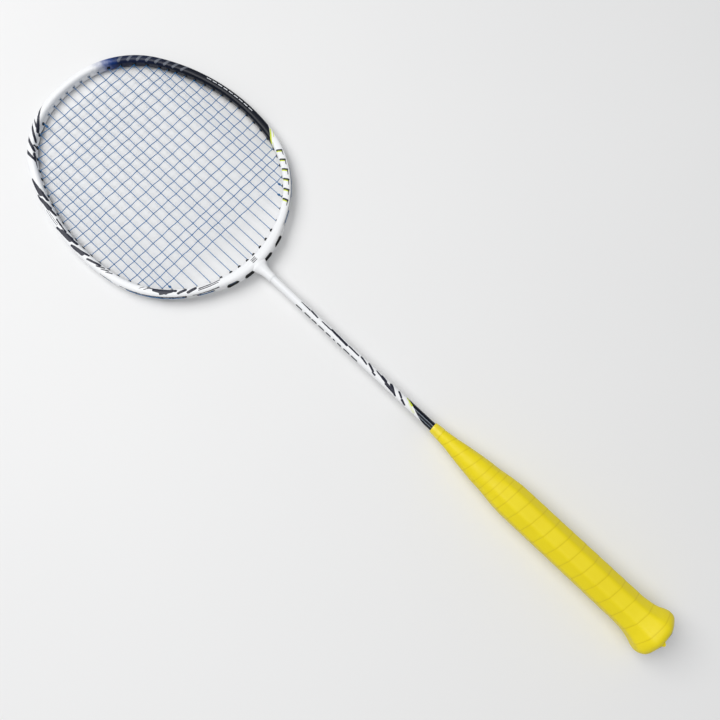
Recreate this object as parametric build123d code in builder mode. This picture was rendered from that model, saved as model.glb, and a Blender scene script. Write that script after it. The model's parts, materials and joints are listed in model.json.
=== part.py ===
from build123d import *
from math import atan2, cos, degrees, hypot, radians, sin
import os

# Badminton racket, all lengths in millimetres.
# Origin: centre of the butt end face. +Y runs along the racket to the head's tip,
# +X across the head, and +Z up, normal to the string bed.

# ---------------------------------------------------------------- driving dimensions
OVERALL_LENGTH = 675.0

# head: a closed hoop of tangent arcs, given along its inner wall from tip to throat
FRAME_WIDTH = 7.5            # across the frame, in the plane of the strings
FRAME_HEIGHT = 9.0           # normal to the strings
FRAME_CORNER = 2.9
TIP_RADIUS, TIP_TURN = 115.0, 6.0
SHOULDER_RADIUS, SHOULDER_TURN = 74.6, 55.8
SIDE_RADIUS, SIDE_TURN = 187.0, 39.0
GROOVE_DEPTH, GROOVE_HEIGHT = 1.3, 4.4
CAVITY_START, CAVITY_WIDTH, CAVITY_HEIGHT, CAVITY_CORNER = 1.2, 3.7, 6.2, 1.0

# throat: the outer wall swells to meet the shaft
THROAT_SWELL = 3.1
THROAT_SWELL_HALF_SPAN = 46.0
THROAT_SWELL_HEIGHT = 7.0
THROAT_SWELL_ROOT = 5.2      # from the inner wall to where the swelling is rooted
THROAT_SWELL_END_SINK = 0.4  # its thin ends start this far under the outer wall
THROAT_GROOVE_END_X = 35.0   # the groove stops here, beside the throat grommets
COLLAR_LENGTH = 19.0
COLLAR_HALF_WIDTH, COLLAR_HALF_HEIGHT, COLLAR_END_RADIUS = 6.6, 4.1, 3.95
COLLAR_INTO_THROAT = 0.6
COLLAR_WAIST_DISTANCE, COLLAR_WAIST_HALF_WIDTH = 8.55, 4.55
SLOT_DEPTH = 7.4             # from the inner wall to the pads of the throat grommets
SLOT_HEIGHT = 5.4
SLOT_GAP = 0.3               # between a pad's ends and its slot's, both ends together

# shaft and its joint to the head
SHAFT_RADIUS, SHAFT_BORE_RADIUS = 3.4, 2.4
SHAFT_BOTTOM, SHAFT_TOP = 96.0, 418.0
GLUE_GAP = 0.04
STEM_RADIUS, STEM_BOTTOM = 2.3, 384.0
CROSSBAR_HALF_TURN = 10.5
CROSSBAR_GAP, CROSSBAR_CORNER = 0.2, 0.8

# strings
STRING_RADIUS = 0.34
MAIN_X = [4.1, 12.3, 20.8, 29.5, 39.0, 49.0, 58.1, 65.5, 72.1, 77.8, 84.5]
CROSS_Y = [652.9, 644.5, 635.8, 626.4, 617.6, 609.3, 601.2, 591.7, 582.1, 572.6, 562.8,
           552.6, 542.3, 532.0, 521.9, 511.8, 501.6, 491.8, 483.2, 474.5, 463.9]
MAIN_Z, CROSS_Z = -0.4, 0.4  # heights at which the two strings pass through the frame
WEAVE = 0.80                 # from a main's centre to the centre of a cross on it
SHARE_DISTANCE = 4.6         # two string ends closer than this share one hole
THROAT_MAINS = 4             # mains each side that leave by the throat's slots

# grommets
HOLE_RADIUS = 1.5
BARREL_RADIUS, BORE_RADIUS = 1.45, 1.0
BARREL_TIP = 0.8             # stands out of the inner wall
THROAT_TIP = 2.0             # the same for the long slanted barrels
FLANGE_RADIUS, FLANGE_THICKNESS = 2.0, 0.45
THROAT_EXIT_X = [7.9, 13.2, 23.3, 30.4]
PAD_LENGTH, PAD_HEIGHT = 4.0, 5.0
TIP_ZONE_END, SHOULDER_ZONE_END, SIDE_ZONE_END = 27.0, 75.0, 118.0

# handle, half sizes across the flats of an octagon
CORE_HALF = 12.0
CORE_BOTTOM, CORE_TOP, CORE_NECK_TOP = 3.0, 158.0, 168.0
BASE_GRIP_THICKNESS, OVERGRIP_THICKNESS = 1.1, 0.62
SKIN_GAP = 0.03
CONE_TOP, CONE_WALL = 216.0, 1.4
OVERGRIP_TOP, OVERGRIP_MOUTH_HALF = 224.0, 14.6
TAPE_WIDTH, TAPE_THICKNESS = 8.5, 0.22
TAPE_LOW_RADIUS, TAPE_HIGH_RADIUS = 5.05, 4.2
CORE_CORNER = 1.5            # rounding of the octagon's eight edges
CORNER_SOFTENING = 2.6       # how much rounder they get per millimetre of wrapping
NECK_RADIUS = 8.0
CONE_CLEARANCE, CONE_SLEEVE = 0.6, 4.0
BUTT_HALF, BUTT_CORNER, BUTT_EDGE = 15.4, 3.0, 1.6
BADGE_RADIUS, BADGE_THICKNESS, BADGE_RECESS = 8.0, 0.48, 0.5
BAND_LOW, BAND_HIGH, BAND_THICKNESS = 148.6, 157.0, 0.5

# cutting bodies run past what they cut by these lengths
HOLE_LEAD, BORE_LEAD, SLOT_CUT, SOCKET_CUT = 2.0, 1.0, 8.0, 60.0

CORE_STATIONS = [(3.0, 15.9), (6.5, 17.3), (10.0, 16.2), (14.0, 14.4), (19.0, 12.9),
                 (26.0, 12.0), (138.0, 12.0), (148.0, 11.6), (158.0, 10.9)]
CONE_PROFILE = [(158.0, 10.9), (166.0, 10.2), (176.0, 9.0), (186.0, 7.6), (196.0, 6.2),
                (206.0, 5.0), (216.0, 4.0)]


# ---------------------------------------------------------------- hoop geometry
def hoop_arcs():
    """Centre, radius, first and last turn of each arc of the right half, tip to throat.

    Turn is the angle that the inner wall has turned through since the tip, so the
    outward normal at a turn is (sin turn, cos turn).
    """
    arcs = []
    centre_x, centre_y = 0.0, OVERALL_LENGTH - FRAME_WIDTH - TIP_RADIUS
    radius, turn = TIP_RADIUS, 0.0
    following = [(SHOULDER_RADIUS, TIP_TURN), (SIDE_RADIUS, SHOULDER_TURN), (None, SIDE_TURN)]
    for next_radius, sweep_angle in following:
        end = turn + sweep_angle
        arcs.append((centre_x, centre_y, radius, turn, end))
        if next_radius is None:
            next_radius = radius + centre_x / sin(radians(end))
        centre_x += (radius - next_radius) * sin(radians(end))
        centre_y += (radius - next_radius) * cos(radians(end))
        radius, turn = next_radius, end
    arcs.append((centre_x, centre_y, radius, turn, 180.0))
    return arcs


ARCS = hoop_arcs()
THROAT_CENTRE_Y, THROAT_RADIUS = ARCS[-1][1], ARCS[-1][2]
THROAT_INNER_Y = THROAT_CENTRE_Y - THROAT_RADIUS
THROAT_OUTER_Y = THROAT_INNER_Y - FRAME_WIDTH


def hoop_point(turn, depth=0.0, height=0.0):
    """Point at a turn, depth beyond the inner wall; a negative turn is the left half."""
    side = -1.0 if turn < 0 else 1.0
    size = abs(turn)
    for centre_x, centre_y, radius, start, end in ARCS:
        if size <= end + 1e-9:
            reach = radius + depth
            x = centre_x + reach * sin(radians(size))
            y = centre_y + reach * cos(radians(size))
            return Vector(side * x, y, height)


def outward(turn):
    return Vector(sin(radians(turn)), cos(radians(turn)), 0)


def find_turn(wanted, axis, low, high):
    """Turn between low and high where the inner wall's x or y has the wanted value."""
    rising = getattr(hoop_point(high), axis) > getattr(hoop_point(low), axis)
    for _ in range(50):
        middle = (low + high) / 2
        if (getattr(hoop_point(middle), axis) < wanted) == rising:
            low = middle
        else:
            high = middle
    return (low + high) / 2


def arc_line(depth, first_turn, last_turn):
    """The arcs of the right half between two turns, as edges in the current BuildLine."""
    for centre_x, centre_y, radius, start, end in ARCS:
        a, b = max(start, first_turn), min(end, last_turn)
        if b > a:
            CenterArc((centre_x, centre_y), radius + depth, 90.0 - b, b - a)


# ---------------------------------------------------------------- string holes
MAINS_TOP = [find_turn(x, "X", 0.0, 80.0) for x in MAIN_X]
MAINS_BOTTOM = [find_turn(x, "X", 100.0, 180.0) for x in MAIN_X]
CROSSES = [find_turn(y, "Y", 0.0, 180.0) for y in CROSS_Y]


def share_holes():
    """Move each cross end and main end that nearly meet to one hole between them."""
    for mains in (MAINS_TOP, MAINS_BOTTOM):
        for i, main in enumerate(mains):
            for j, cross in enumerate(CROSSES):
                apart = (hoop_point(main) - hoop_point(cross)).length
                if apart < SHARE_DISTANCE:
                    mains[i] = CROSSES[j] = (main + CROSSES[j]) / 2


share_holes()
ALL_TURNS = sorted(set(round(t, 6) for t in MAINS_TOP + MAINS_BOTTOM + CROSSES))
THROAT_TURNS = [round(t, 6) for t in MAINS_BOTTOM[:THROAT_MAINS]]
SINGLE_TURNS = [t for t in ALL_TURNS if t not in THROAT_TURNS]
THROAT_EXITS = [180.0 - degrees(atan2(x, THROAT_RADIUS + SLOT_DEPTH)) for x in THROAT_EXIT_X]


def single_plane(turn, depth):
    return Plane(origin=hoop_point(turn, depth), x_dir=(0, 0, 1), z_dir=outward(turn))


def throat_plane(index, side):
    """Plane at the tip of a slanted throat barrel, and the length to its pad."""
    wall = hoop_point(side * THROAT_TURNS[index])
    finish = hoop_point(side * THROAT_EXITS[index], SLOT_DEPTH)
    start = wall - (finish - wall).normalized() * THROAT_TIP
    return Plane(origin=start, x_dir=(0, 0, 1), z_dir=finish - start), (finish - start).length


def pad_plane(pair, side, depth):
    turn = side * (THROAT_EXITS[2 * pair] + THROAT_EXITS[2 * pair + 1]) / 2
    return Plane(origin=hoop_point(turn, depth), x_dir=outward(turn + 90.0), z_dir=outward(turn))


def pad_span(pair):
    a = hoop_point(THROAT_EXITS[2 * pair], SLOT_DEPTH)
    b = hoop_point(THROAT_EXITS[2 * pair + 1], SLOT_DEPTH)
    return (a - b).length


def finish_part(part, label):
    """Label a finished piece and write its STEP file."""
    part.label = label
    export_step(part, f"parts/{label}.step")


os.makedirs("parts", exist_ok=True)
BOTH_SIDES = (1, -1)
SECTION_PLANE = Plane(origin=hoop_point(0.0), x_dir=(0, 1, 0), z_dir=(1, 0, 0))

# ---------------------------------------------------------------- head frame
with BuildPart() as head_frame:
    with BuildLine() as hoop_path:
        arc_line(0.0, 0.0, 180.0)
        mirror(about=Plane.YZ)
    with BuildSketch(SECTION_PLANE) as tube_section:
        with Locations((FRAME_WIDTH / 2, 0)):
            RectangleRounded(FRAME_WIDTH, FRAME_HEIGHT, FRAME_CORNER)
        with Locations((FRAME_WIDTH - GROOVE_DEPTH / 2, 0)):
            Rectangle(GROOVE_DEPTH, GROOVE_HEIGHT, mode=Mode.SUBTRACT)
    sweep(sections=tube_section.sketch, path=hoop_path.wire())

    # swelling of the outer wall at the throat, closed by an arc through three points
    swell_turn = 180.0 - degrees(atan2(THROAT_SWELL_HALF_SPAN, THROAT_RADIUS + FRAME_WIDTH))
    with BuildSketch(Plane.XY.offset(-THROAT_SWELL_HEIGHT / 2)):
        with BuildLine():
            right = hoop_point(swell_turn, FRAME_WIDTH - THROAT_SWELL_END_SINK)
            right_in = hoop_point(swell_turn, THROAT_SWELL_ROOT)
            swell_arc = ThreePointArc(
                (-right.X, right.Y), (0, THROAT_OUTER_Y - THROAT_SWELL), (right.X, right.Y)
            )
            Line((right.X, right.Y), (right_in.X, right_in.Y))
            ThreePointArc(
                (right_in.X, right_in.Y),
                (0, THROAT_INNER_Y - THROAT_SWELL_ROOT),
                (-right_in.X, right_in.Y),
            )
            Line((-right_in.X, right_in.Y), (-right.X, right.Y))
        make_face()
    extrude(amount=THROAT_SWELL_HEIGHT)

    # the groove carried on through the thin ends of the swelling
    groove_end = find_turn(THROAT_GROOVE_END_X, "X", 100.0, 180.0)
    groove_floor = FRAME_WIDTH - GROOVE_DEPTH
    with BuildSketch(Plane.XY.offset(-GROOVE_HEIGHT / 2)):
        for side in BOTH_SIDES:
            with BuildLine():
                ends = [
                    hoop_point(side * turn, depth)
                    for depth in (groove_floor, FRAME_WIDTH + 3.0)
                    for turn in (swell_turn - 3.0, (swell_turn + groove_end) / 2, groove_end)
                ]
                corners = [(point.X, point.Y) for point in ends]
                ThreePointArc(*corners[:3])
                Line(corners[2], corners[5])
                ThreePointArc(*corners[:2:-1])
                Line(corners[3], corners[0])
            make_face()
    extrude(amount=GROOVE_HEIGHT, mode=Mode.SUBTRACT)

    # collar that takes the end of the shaft
    with BuildSketch(Plane.XZ.offset(-(THROAT_OUTER_Y + COLLAR_INTO_THROAT))):
        Ellipse(COLLAR_HALF_WIDTH, COLLAR_HALF_HEIGHT)
    with BuildSketch(Plane.XZ.offset(-(THROAT_OUTER_Y - COLLAR_WAIST_DISTANCE))):
        Ellipse(COLLAR_WAIST_HALF_WIDTH, COLLAR_HALF_HEIGHT)
    with BuildSketch(Plane.XZ.offset(-(THROAT_OUTER_Y - COLLAR_LENGTH))):
        Circle(COLLAR_END_RADIUS)
    loft()

    # cavity of the moulded tube
    with BuildSketch(SECTION_PLANE) as cavity_section:
        with Locations((CAVITY_START + CAVITY_WIDTH / 2, 0)):
            RectangleRounded(CAVITY_WIDTH, CAVITY_HEIGHT, CAVITY_CORNER)
    sweep(sections=cavity_section.sketch, path=hoop_path.wire(), mode=Mode.SUBTRACT)

    # shaft socket and the way through for the joint's stem
    with Locations(Plane.XZ.offset(-SHAFT_TOP)):
        Cylinder(
            SHAFT_RADIUS + GLUE_GAP,
            SOCKET_CUT,
            align=(Align.CENTER, Align.CENTER, Align.MIN),
            mode=Mode.SUBTRACT,
        )
    with Locations(Plane.XZ.offset(-(THROAT_INNER_Y - CAVITY_START - CAVITY_WIDTH / 2))):
        Cylinder(
            STEM_RADIUS + GLUE_GAP,
            SOCKET_CUT,
            align=(Align.CENTER, Align.CENTER, Align.MIN),
            mode=Mode.SUBTRACT,
        )

    # slots for the pads of the throat grommets
    for side in BOTH_SIDES:
        for pair in (0, 1):
            with BuildSketch(pad_plane(pair, side, SLOT_DEPTH - FLANGE_THICKNESS)):
                SlotOverall(pad_span(pair) + PAD_LENGTH + SLOT_GAP, SLOT_HEIGHT)
            extrude(amount=SLOT_CUT, mode=Mode.SUBTRACT)

    # one hole for each grommet
    single_holes = [single_plane(s * t, -HOLE_LEAD) for t in SINGLE_TURNS for s in BOTH_SIDES]
    with Locations(*single_holes):
        Cylinder(
            HOLE_RADIUS,
            FRAME_WIDTH + HOLE_LEAD,
            align=(Align.CENTER, Align.CENTER, Align.MIN),
            mode=Mode.SUBTRACT,
        )
    throat_holes = [throat_plane(i, s)[0] for i in range(THROAT_MAINS) for s in BOTH_SIDES]
    with Locations(*throat_holes):
        Cylinder(
            HOLE_RADIUS,
            SLOT_DEPTH + 2 * THROAT_TIP,
            align=(Align.CENTER, Align.CENTER, Align.MIN),
            mode=Mode.SUBTRACT,
        )
finish_part(head_frame.part, "head_frame")

# ---------------------------------------------------------------- joint inside the throat
with BuildPart() as t_joint:
    start_turn = 180.0 - CROSSBAR_HALF_TURN
    bar_depth = CAVITY_START + CAVITY_WIDTH / 2
    with BuildLine() as bar_path:
        CenterArc(
            (0, THROAT_CENTRE_Y),
            THROAT_RADIUS + bar_depth,
            90.0 + start_turn,
            2 * CROSSBAR_HALF_TURN,
        )
    bar_plane = Plane(
        origin=bar_path.line @ 0, x_dir=(0, 0, 1), z_dir=bar_path.line % 0
    )
    with BuildSketch(bar_plane):
        RectangleRounded(
            CAVITY_HEIGHT - CROSSBAR_GAP, CAVITY_WIDTH - CROSSBAR_GAP, CROSSBAR_CORNER
        )
    sweep(path=bar_path.wire())
    with Locations(Plane.XZ.offset(-(THROAT_INNER_Y - bar_depth))):
        Cylinder(
            STEM_RADIUS,
            THROAT_INNER_Y - bar_depth - STEM_BOTTOM,
            align=(Align.CENTER, Align.CENTER, Align.MIN),
        )
    with Locations(*[throat_plane(i, s)[0] for i in (0, 1) for s in BOTH_SIDES]):
        Cylinder(
            HOLE_RADIUS,
            SLOT_DEPTH + 2 * THROAT_TIP,
            align=(Align.CENTER, Align.CENTER, Align.MIN),
            mode=Mode.SUBTRACT,
        )
finish_part(t_joint.part, "t_joint")

# ---------------------------------------------------------------- shaft
with BuildPart() as shaft:
    with BuildSketch(Plane.XZ.offset(-SHAFT_TOP)):
        Circle(SHAFT_RADIUS)
        Circle(SHAFT_BORE_RADIUS, mode=Mode.SUBTRACT)
    extrude(amount=SHAFT_TOP - SHAFT_BOTTOM)
finish_part(shaft.part, "shaft")


# ---------------------------------------------------------------- grommets
def single_grommets(label, turns):
    """Flanged barrels, one in each single hole, their flanges on the groove's floor."""
    floor = FRAME_WIDTH - GROOVE_DEPTH + SKIN_GAP
    with BuildPart() as grommets:
        with Locations(*[single_plane(t, -BARREL_TIP) for t in turns]):
            Cylinder(
                BARREL_RADIUS,
                floor + BARREL_TIP + FLANGE_THICKNESS,
                align=(Align.CENTER, Align.CENTER, Align.MIN),
            )
        with Locations(*[single_plane(t, floor) for t in turns]):
            Cylinder(
                FLANGE_RADIUS,
                FLANGE_THICKNESS,
                align=(Align.CENTER, Align.CENTER, Align.MIN),
            )
        with Locations(*[single_plane(t, -BARREL_TIP - BORE_LEAD) for t in turns]):
            Cylinder(
                BORE_RADIUS,
                FRAME_WIDTH + 3 * BORE_LEAD,
                align=(Align.CENTER, Align.CENTER, Align.MIN),
                mode=Mode.SUBTRACT,
            )
    finish_part(grommets.part, label)


TIP_TURNS = [t for t in SINGLE_TURNS if t < TIP_ZONE_END]
UPPER_TURNS = [t for t in SINGLE_TURNS if TIP_ZONE_END < t < SHOULDER_ZONE_END]
SIDE_TURNS = [t for t in SINGLE_TURNS if SHOULDER_ZONE_END < t < SIDE_ZONE_END]
LOWER_TURNS = [t for t in SINGLE_TURNS if SIDE_ZONE_END < t]
single_grommets("tip_grommets", [s * t for t in TIP_TURNS for s in BOTH_SIDES])
for side_name, side in (("right", 1), ("left", -1)):
    single_grommets(f"{side_name}_shoulder_grommets", [side * t for t in UPPER_TURNS])
    single_grommets(f"{side_name}_side_grommets", [side * t for t in SIDE_TURNS])
    single_grommets(f"{side_name}_lower_grommets", [side * t for t in LOWER_TURNS])


def twin_grommets(label, pair):
    """Two slanted barrels on one oblong pad, one such grommet each side of the shaft."""
    with BuildPart() as twins:
        for side in BOTH_SIDES:
            with BuildSketch(pad_plane(pair, side, SLOT_DEPTH - FLANGE_THICKNESS + SKIN_GAP)):
                SlotOverall(pad_span(pair) + PAD_LENGTH, PAD_HEIGHT)
            extrude(amount=FLANGE_THICKNESS)
        for index in (2 * pair, 2 * pair + 1):
            for side in BOTH_SIDES:
                plane, length = throat_plane(index, side)
                with Locations(plane):
                    Cylinder(
                        BARREL_RADIUS,
                        length - FLANGE_THICKNESS / 2,
                        align=(Align.CENTER, Align.CENTER, Align.MIN),
                    )
        for index in (2 * pair, 2 * pair + 1):
            for side in BOTH_SIDES:
                plane, length = throat_plane(index, side)
                with Locations(plane.offset(-BORE_LEAD)):
                    Cylinder(
                        BORE_RADIUS,
                        length + 4 * BORE_LEAD,
                        align=(Align.CENTER, Align.CENTER, Align.MIN),
                        mode=Mode.SUBTRACT,
                    )
    finish_part(twins.part, label)


twin_grommets("inner_throat_grommets", 0)
twin_grommets("outer_throat_grommets", 1)

# ---------------------------------------------------------------- strings
MOUTH_GAP = 0.5              # from a barrel's tip to where its string turns
RUN_LIFT = 0.43              # from a flange to the centre of the string on it
KNOT_GAP, END_GAP = 0.05, 0.9
MOUTH_DEPTH = -(BARREL_TIP + MOUTH_GAP)
GROOVE_RUN_DEPTH = FRAME_WIDTH - GROOVE_DEPTH + SKIN_GAP + FLANGE_THICKNESS + RUN_LIFT
SLOT_RUN_DEPTH = SLOT_DEPTH + SKIN_GAP + RUN_LIFT
KNOT_LENGTH, KNOT_RADIUS, KNOT_INSET = 2.4, 0.95, 3.0
LANE_STEP = 3.5
MAIN_TAIL_Z, CROSS_TAIL_Z = -1.2, 1.2


def main_top(index, side):
    turn = side * MAINS_TOP[index]
    return hoop_point(turn, MOUTH_DEPTH, MAIN_Z), hoop_point(turn, GROOVE_RUN_DEPTH, MAIN_Z)


def main_bottom(index, side):
    """Inside and outside points of a main's lower end; the middle ones leave by a slot."""
    if index < THROAT_MAINS:
        plane = throat_plane(index, side)[0]
        mouth = plane.origin - plane.z_dir * MOUTH_GAP + Vector(0, 0, MAIN_Z)
        return mouth, hoop_point(side * THROAT_EXITS[index], SLOT_RUN_DEPTH, MAIN_Z)
    mouth = hoop_point(side * MAINS_BOTTOM[index], MOUTH_DEPTH, MAIN_Z)
    return mouth, hoop_point(side * MAINS_BOTTOM[index], GROOVE_RUN_DEPTH, MAIN_Z)


def x_of_main(index, side, y):
    top, bottom = main_top(index, side)[0], main_bottom(index, side)[0]
    share = (y - bottom.Y) / (top.Y - bottom.Y)
    return bottom.X + share * (top.X - bottom.X), 0.0 < share < 1.0


def main_run(index, side, upward):
    """The four points of one main, from its outside point at one end to the other's."""
    top, bottom = main_top(index, side), main_bottom(index, side)
    points = [bottom[1], bottom[0], top[0], top[1]]
    return points if upward else points[::-1]


def anchor_point(index, side, at_top):
    """Point on a main near the frame, where a loose string end is knotted to it."""
    top, bottom = main_top(index, side)[0], main_bottom(index, side)[0]
    along = (bottom - top).normalized()
    return top + along * KNOT_INSET if at_top else bottom - along * KNOT_INSET


def groove_lane(turns, side, height):
    """Points in the groove at one height, every few degrees between two turns."""
    first, last = turns
    count = int(abs(last - first) / LANE_STEP)
    share = [(k + 0.5) / count for k in range(count)]
    return [
        hoop_point(side * (first + (last - first) * f), GROOVE_RUN_DEPTH, height) for f in share
    ]


def tie_off(index, side, at_top):
    """A loose end's way in through a main's hole, to the knot on that main."""
    ends = main_top(index, side) if at_top else main_bottom(index, side)
    lift = Vector(0, 0, CROSS_Z - MAIN_Z)
    knot = anchor_point(index, side, at_top) + Vector(0, 0, KNOT_RADIUS + STRING_RADIUS + KNOT_GAP)
    return [ends[1] + lift, ends[0] + lift, knot]


def string_solid(points):
    """Round string along a route of straight runs, mitred where it turns."""
    with BuildPart() as string:
        with BuildLine() as route:
            Polyline(*points)
        with BuildSketch(Plane(origin=points[0], z_dir=points[1] - points[0])):
            Circle(STRING_RADIUS)
        sweep(path=route.wire(), transition=Transition.RIGHT)
    return string.part


LAST = len(MAIN_X) - 1
MAIN_TIE = 7
tail_turns = (MAINS_BOTTOM[LAST], MAINS_BOTTOM[MAIN_TIE])
main_route = (groove_lane(tail_turns, -1, MAIN_TAIL_Z) + tie_off(MAIN_TIE, -1, False))[::-1]
for i in range(LAST, -1, -1):
    main_route += main_run(i, -1, upward=(LAST - i) % 2 == 0)
for i in range(LAST + 1):
    main_route += main_run(i, 1, upward=i % 2 == 1)
main_route += groove_lane(tail_turns, 1, MAIN_TAIL_Z) + tie_off(MAIN_TIE, 1, False)
main_string = string_solid(main_route)
finish_part(main_string, "main_string")


def cross_run(j, rightward):
    """One cross from left to right or back, over and under the mains it meets."""
    left_mouth = hoop_point(-CROSSES[j], MOUTH_DEPTH, CROSS_Z)
    right_mouth = hoop_point(CROSSES[j], MOUTH_DEPTH, CROSS_Z)
    met = []
    for side in BOTH_SIDES:
        for i in range(len(MAIN_X)):
            x, inside = x_of_main(i, side, left_mouth.Y)
            if inside and left_mouth.X + END_GAP < x < right_mouth.X - END_GAP:
                over = (i + j + (side < 0)) % 2 == 0
                met.append(Vector(x, left_mouth.Y, MAIN_Z + (WEAVE if over else -WEAVE)))
    met.sort(key=lambda point: point.X)
    points = [hoop_point(-CROSSES[j], GROOVE_RUN_DEPTH, CROSS_Z), left_mouth]
    points += met
    points += [right_mouth, hoop_point(CROSSES[j], GROOVE_RUN_DEPTH, CROSS_Z)]
    return points if rightward else points[::-1]


CROSS_START_TIE, CROSS_END_TIE = 4, 6
cross_route = tie_off(CROSS_START_TIE, -1, True)[::-1]
for j in range(len(CROSS_Y)):
    cross_route += cross_run(j, rightward=j % 2 == 0)
cross_route += groove_lane((CROSSES[-1], MAINS_BOTTOM[CROSS_END_TIE]), 1, CROSS_TAIL_Z)
cross_route += tie_off(CROSS_END_TIE, 1, False)
cross_string = string_solid(cross_route)
finish_part(cross_string, "cross_string")


def knots(label, anchors):
    """Small tight knots, each wound round the main that it is tied to."""
    with BuildPart() as beads:
        for index, side, at_top in anchors:
            top, bottom = main_top(index, side)[0], main_bottom(index, side)[0]
            centre = anchor_point(index, side, at_top)
            with BuildSketch(Plane(origin=centre, z_dir=top - bottom)):
                Circle(KNOT_RADIUS)
                Circle(STRING_RADIUS + SKIN_GAP, mode=Mode.SUBTRACT)
            extrude(amount=KNOT_LENGTH / 2, both=True)
    finish_part(beads.part, label)


knots("main_string_knots", [(MAIN_TIE, -1, False), (MAIN_TIE, 1, False)])
knots("cross_string_knots", [(CROSS_START_TIE, -1, True), (CROSS_END_TIE, 1, False)])


# ---------------------------------------------------------------- handle
def octagon(y, half, corner):
    """Octagon across the handle, with rounded corners, in its own sketch."""
    with BuildSketch(Plane.XZ.offset(-y)) as face:
        RegularPolygon(half, 8, major_radius=False, rotation=22.5)
        fillet(face.vertices(), corner)
    return face.sketch


def handle_skin(stations, grow):
    """Solid through octagons of the given half sizes, grown by one thickness."""
    with BuildPart() as skin:
        for (y, half), (next_y, next_half) in zip(stations, stations[1:]):
            first = octagon(y, half + grow, CORE_CORNER + CORNER_SOFTENING * grow)
            second = octagon(next_y, next_half + grow, CORE_CORNER + CORNER_SOFTENING * grow)
            add(loft([first, second], mode=Mode.PRIVATE))
    return skin.part


STAPLE_Y, STAPLE_WIDTH, STAPLE_WIRE, STAPLE_LEG = 34.0, 8.0, 0.5, 7.0
STAPLE_TOP = CORE_HALF + BASE_GRIP_THICKNESS + SKIN_GAP

with BuildPart() as grip_staple:
    with BuildSketch(Plane.XZ.offset(-STAPLE_Y - STAPLE_WIRE / 2)):
        with BuildLine():
            half = STAPLE_WIDTH / 2
            foot = STAPLE_TOP - STAPLE_LEG
            Polyline(
                (-half, STAPLE_TOP),
                (half, STAPLE_TOP),
                (half, foot),
                (half - STAPLE_WIRE, foot),
                (half - STAPLE_WIRE, STAPLE_TOP - STAPLE_WIRE),
                (-half + STAPLE_WIRE, STAPLE_TOP - STAPLE_WIRE),
                (-half + STAPLE_WIRE, foot),
                (-half, foot),
                close=True,
            )
        make_face()
    extrude(amount=STAPLE_WIRE)
finish_part(grip_staple.part, "grip_staple")

with BuildPart() as handle_core:
    add(handle_skin(CORE_STATIONS, 0.0))
    with BuildSketch(Plane.XZ.offset(-CORE_TOP)):
        Circle(NECK_RADIUS)
    extrude(amount=-(CORE_NECK_TOP - CORE_TOP))
    with Locations(Plane.XZ.offset(-CORE_NECK_TOP)):
        Cylinder(
            SHAFT_RADIUS + GLUE_GAP,
            CORE_NECK_TOP - SHAFT_BOTTOM + BORE_LEAD,
            align=(Align.CENTER, Align.CENTER, Align.MIN),
            mode=Mode.SUBTRACT,
        )
    add(grip_staple.part, mode=Mode.SUBTRACT)
finish_part(handle_core.part, "handle_core")

with BuildPart() as cone_cap:
    with BuildSketch(Plane.XY):
        with BuildLine():
            outer = [(radius, y) for y, radius in CONE_PROFILE]
            inner = [
                (radius - CONE_WALL, y) for y, radius in CONE_PROFILE
                if radius - CONE_WALL > SHAFT_RADIUS + CONE_CLEARANCE
            ]
            bore = SHAFT_RADIUS + GLUE_GAP
            loop = outer + [(bore, CONE_TOP), (bore, inner[-1][1] + CONE_SLEEVE)] + inner[::-1]
            Polyline(*loop, close=True)
        make_face()
    revolve(axis=Axis.Y)
finish_part(cone_cap.part, "cone_cap")

with BuildPart() as butt_cap:
    with BuildSketch(Plane.XZ.offset(-CORE_BOTTOM)):
        RegularPolygon(BUTT_HALF, 8, major_radius=False, rotation=22.5)
    extrude(amount=CORE_BOTTOM)
    fillet(butt_cap.edges().filter_by(Axis.Y), BUTT_CORNER)
    fillet(butt_cap.faces().sort_by(Axis.Y)[0].edges(), BUTT_EDGE)
    with Locations(Plane.XZ):
        Cylinder(BADGE_RADIUS + GLUE_GAP, 2 * BADGE_RECESS, mode=Mode.SUBTRACT)
finish_part(butt_cap.part, "butt_cap")

with BuildPart() as butt_badge:
    with BuildSketch(Plane.XZ.offset(-BADGE_THICKNESS)):
        Circle(BADGE_RADIUS)
    extrude(amount=BADGE_THICKNESS)
finish_part(butt_badge.part, "butt_badge")

BASE_GRIP_STATIONS = CORE_STATIONS[1:-1]
with BuildPart() as base_grip:
    add(handle_skin(BASE_GRIP_STATIONS, BASE_GRIP_THICKNESS + SKIN_GAP))
    add(handle_skin(CORE_STATIONS, SKIN_GAP), mode=Mode.SUBTRACT)
    add(grip_staple.part, mode=Mode.SUBTRACT)
finish_part(base_grip.part, "base_grip")

with BuildPart() as base_grip_band:
    band_stations = [(BAND_LOW, 11.57), (BAND_HIGH, 10.97)]
    add(handle_skin(band_stations, BAND_THICKNESS))
    add(handle_skin(CORE_STATIONS, SKIN_GAP), mode=Mode.SUBTRACT)
finish_part(base_grip_band.part, "base_grip_band")

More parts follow.
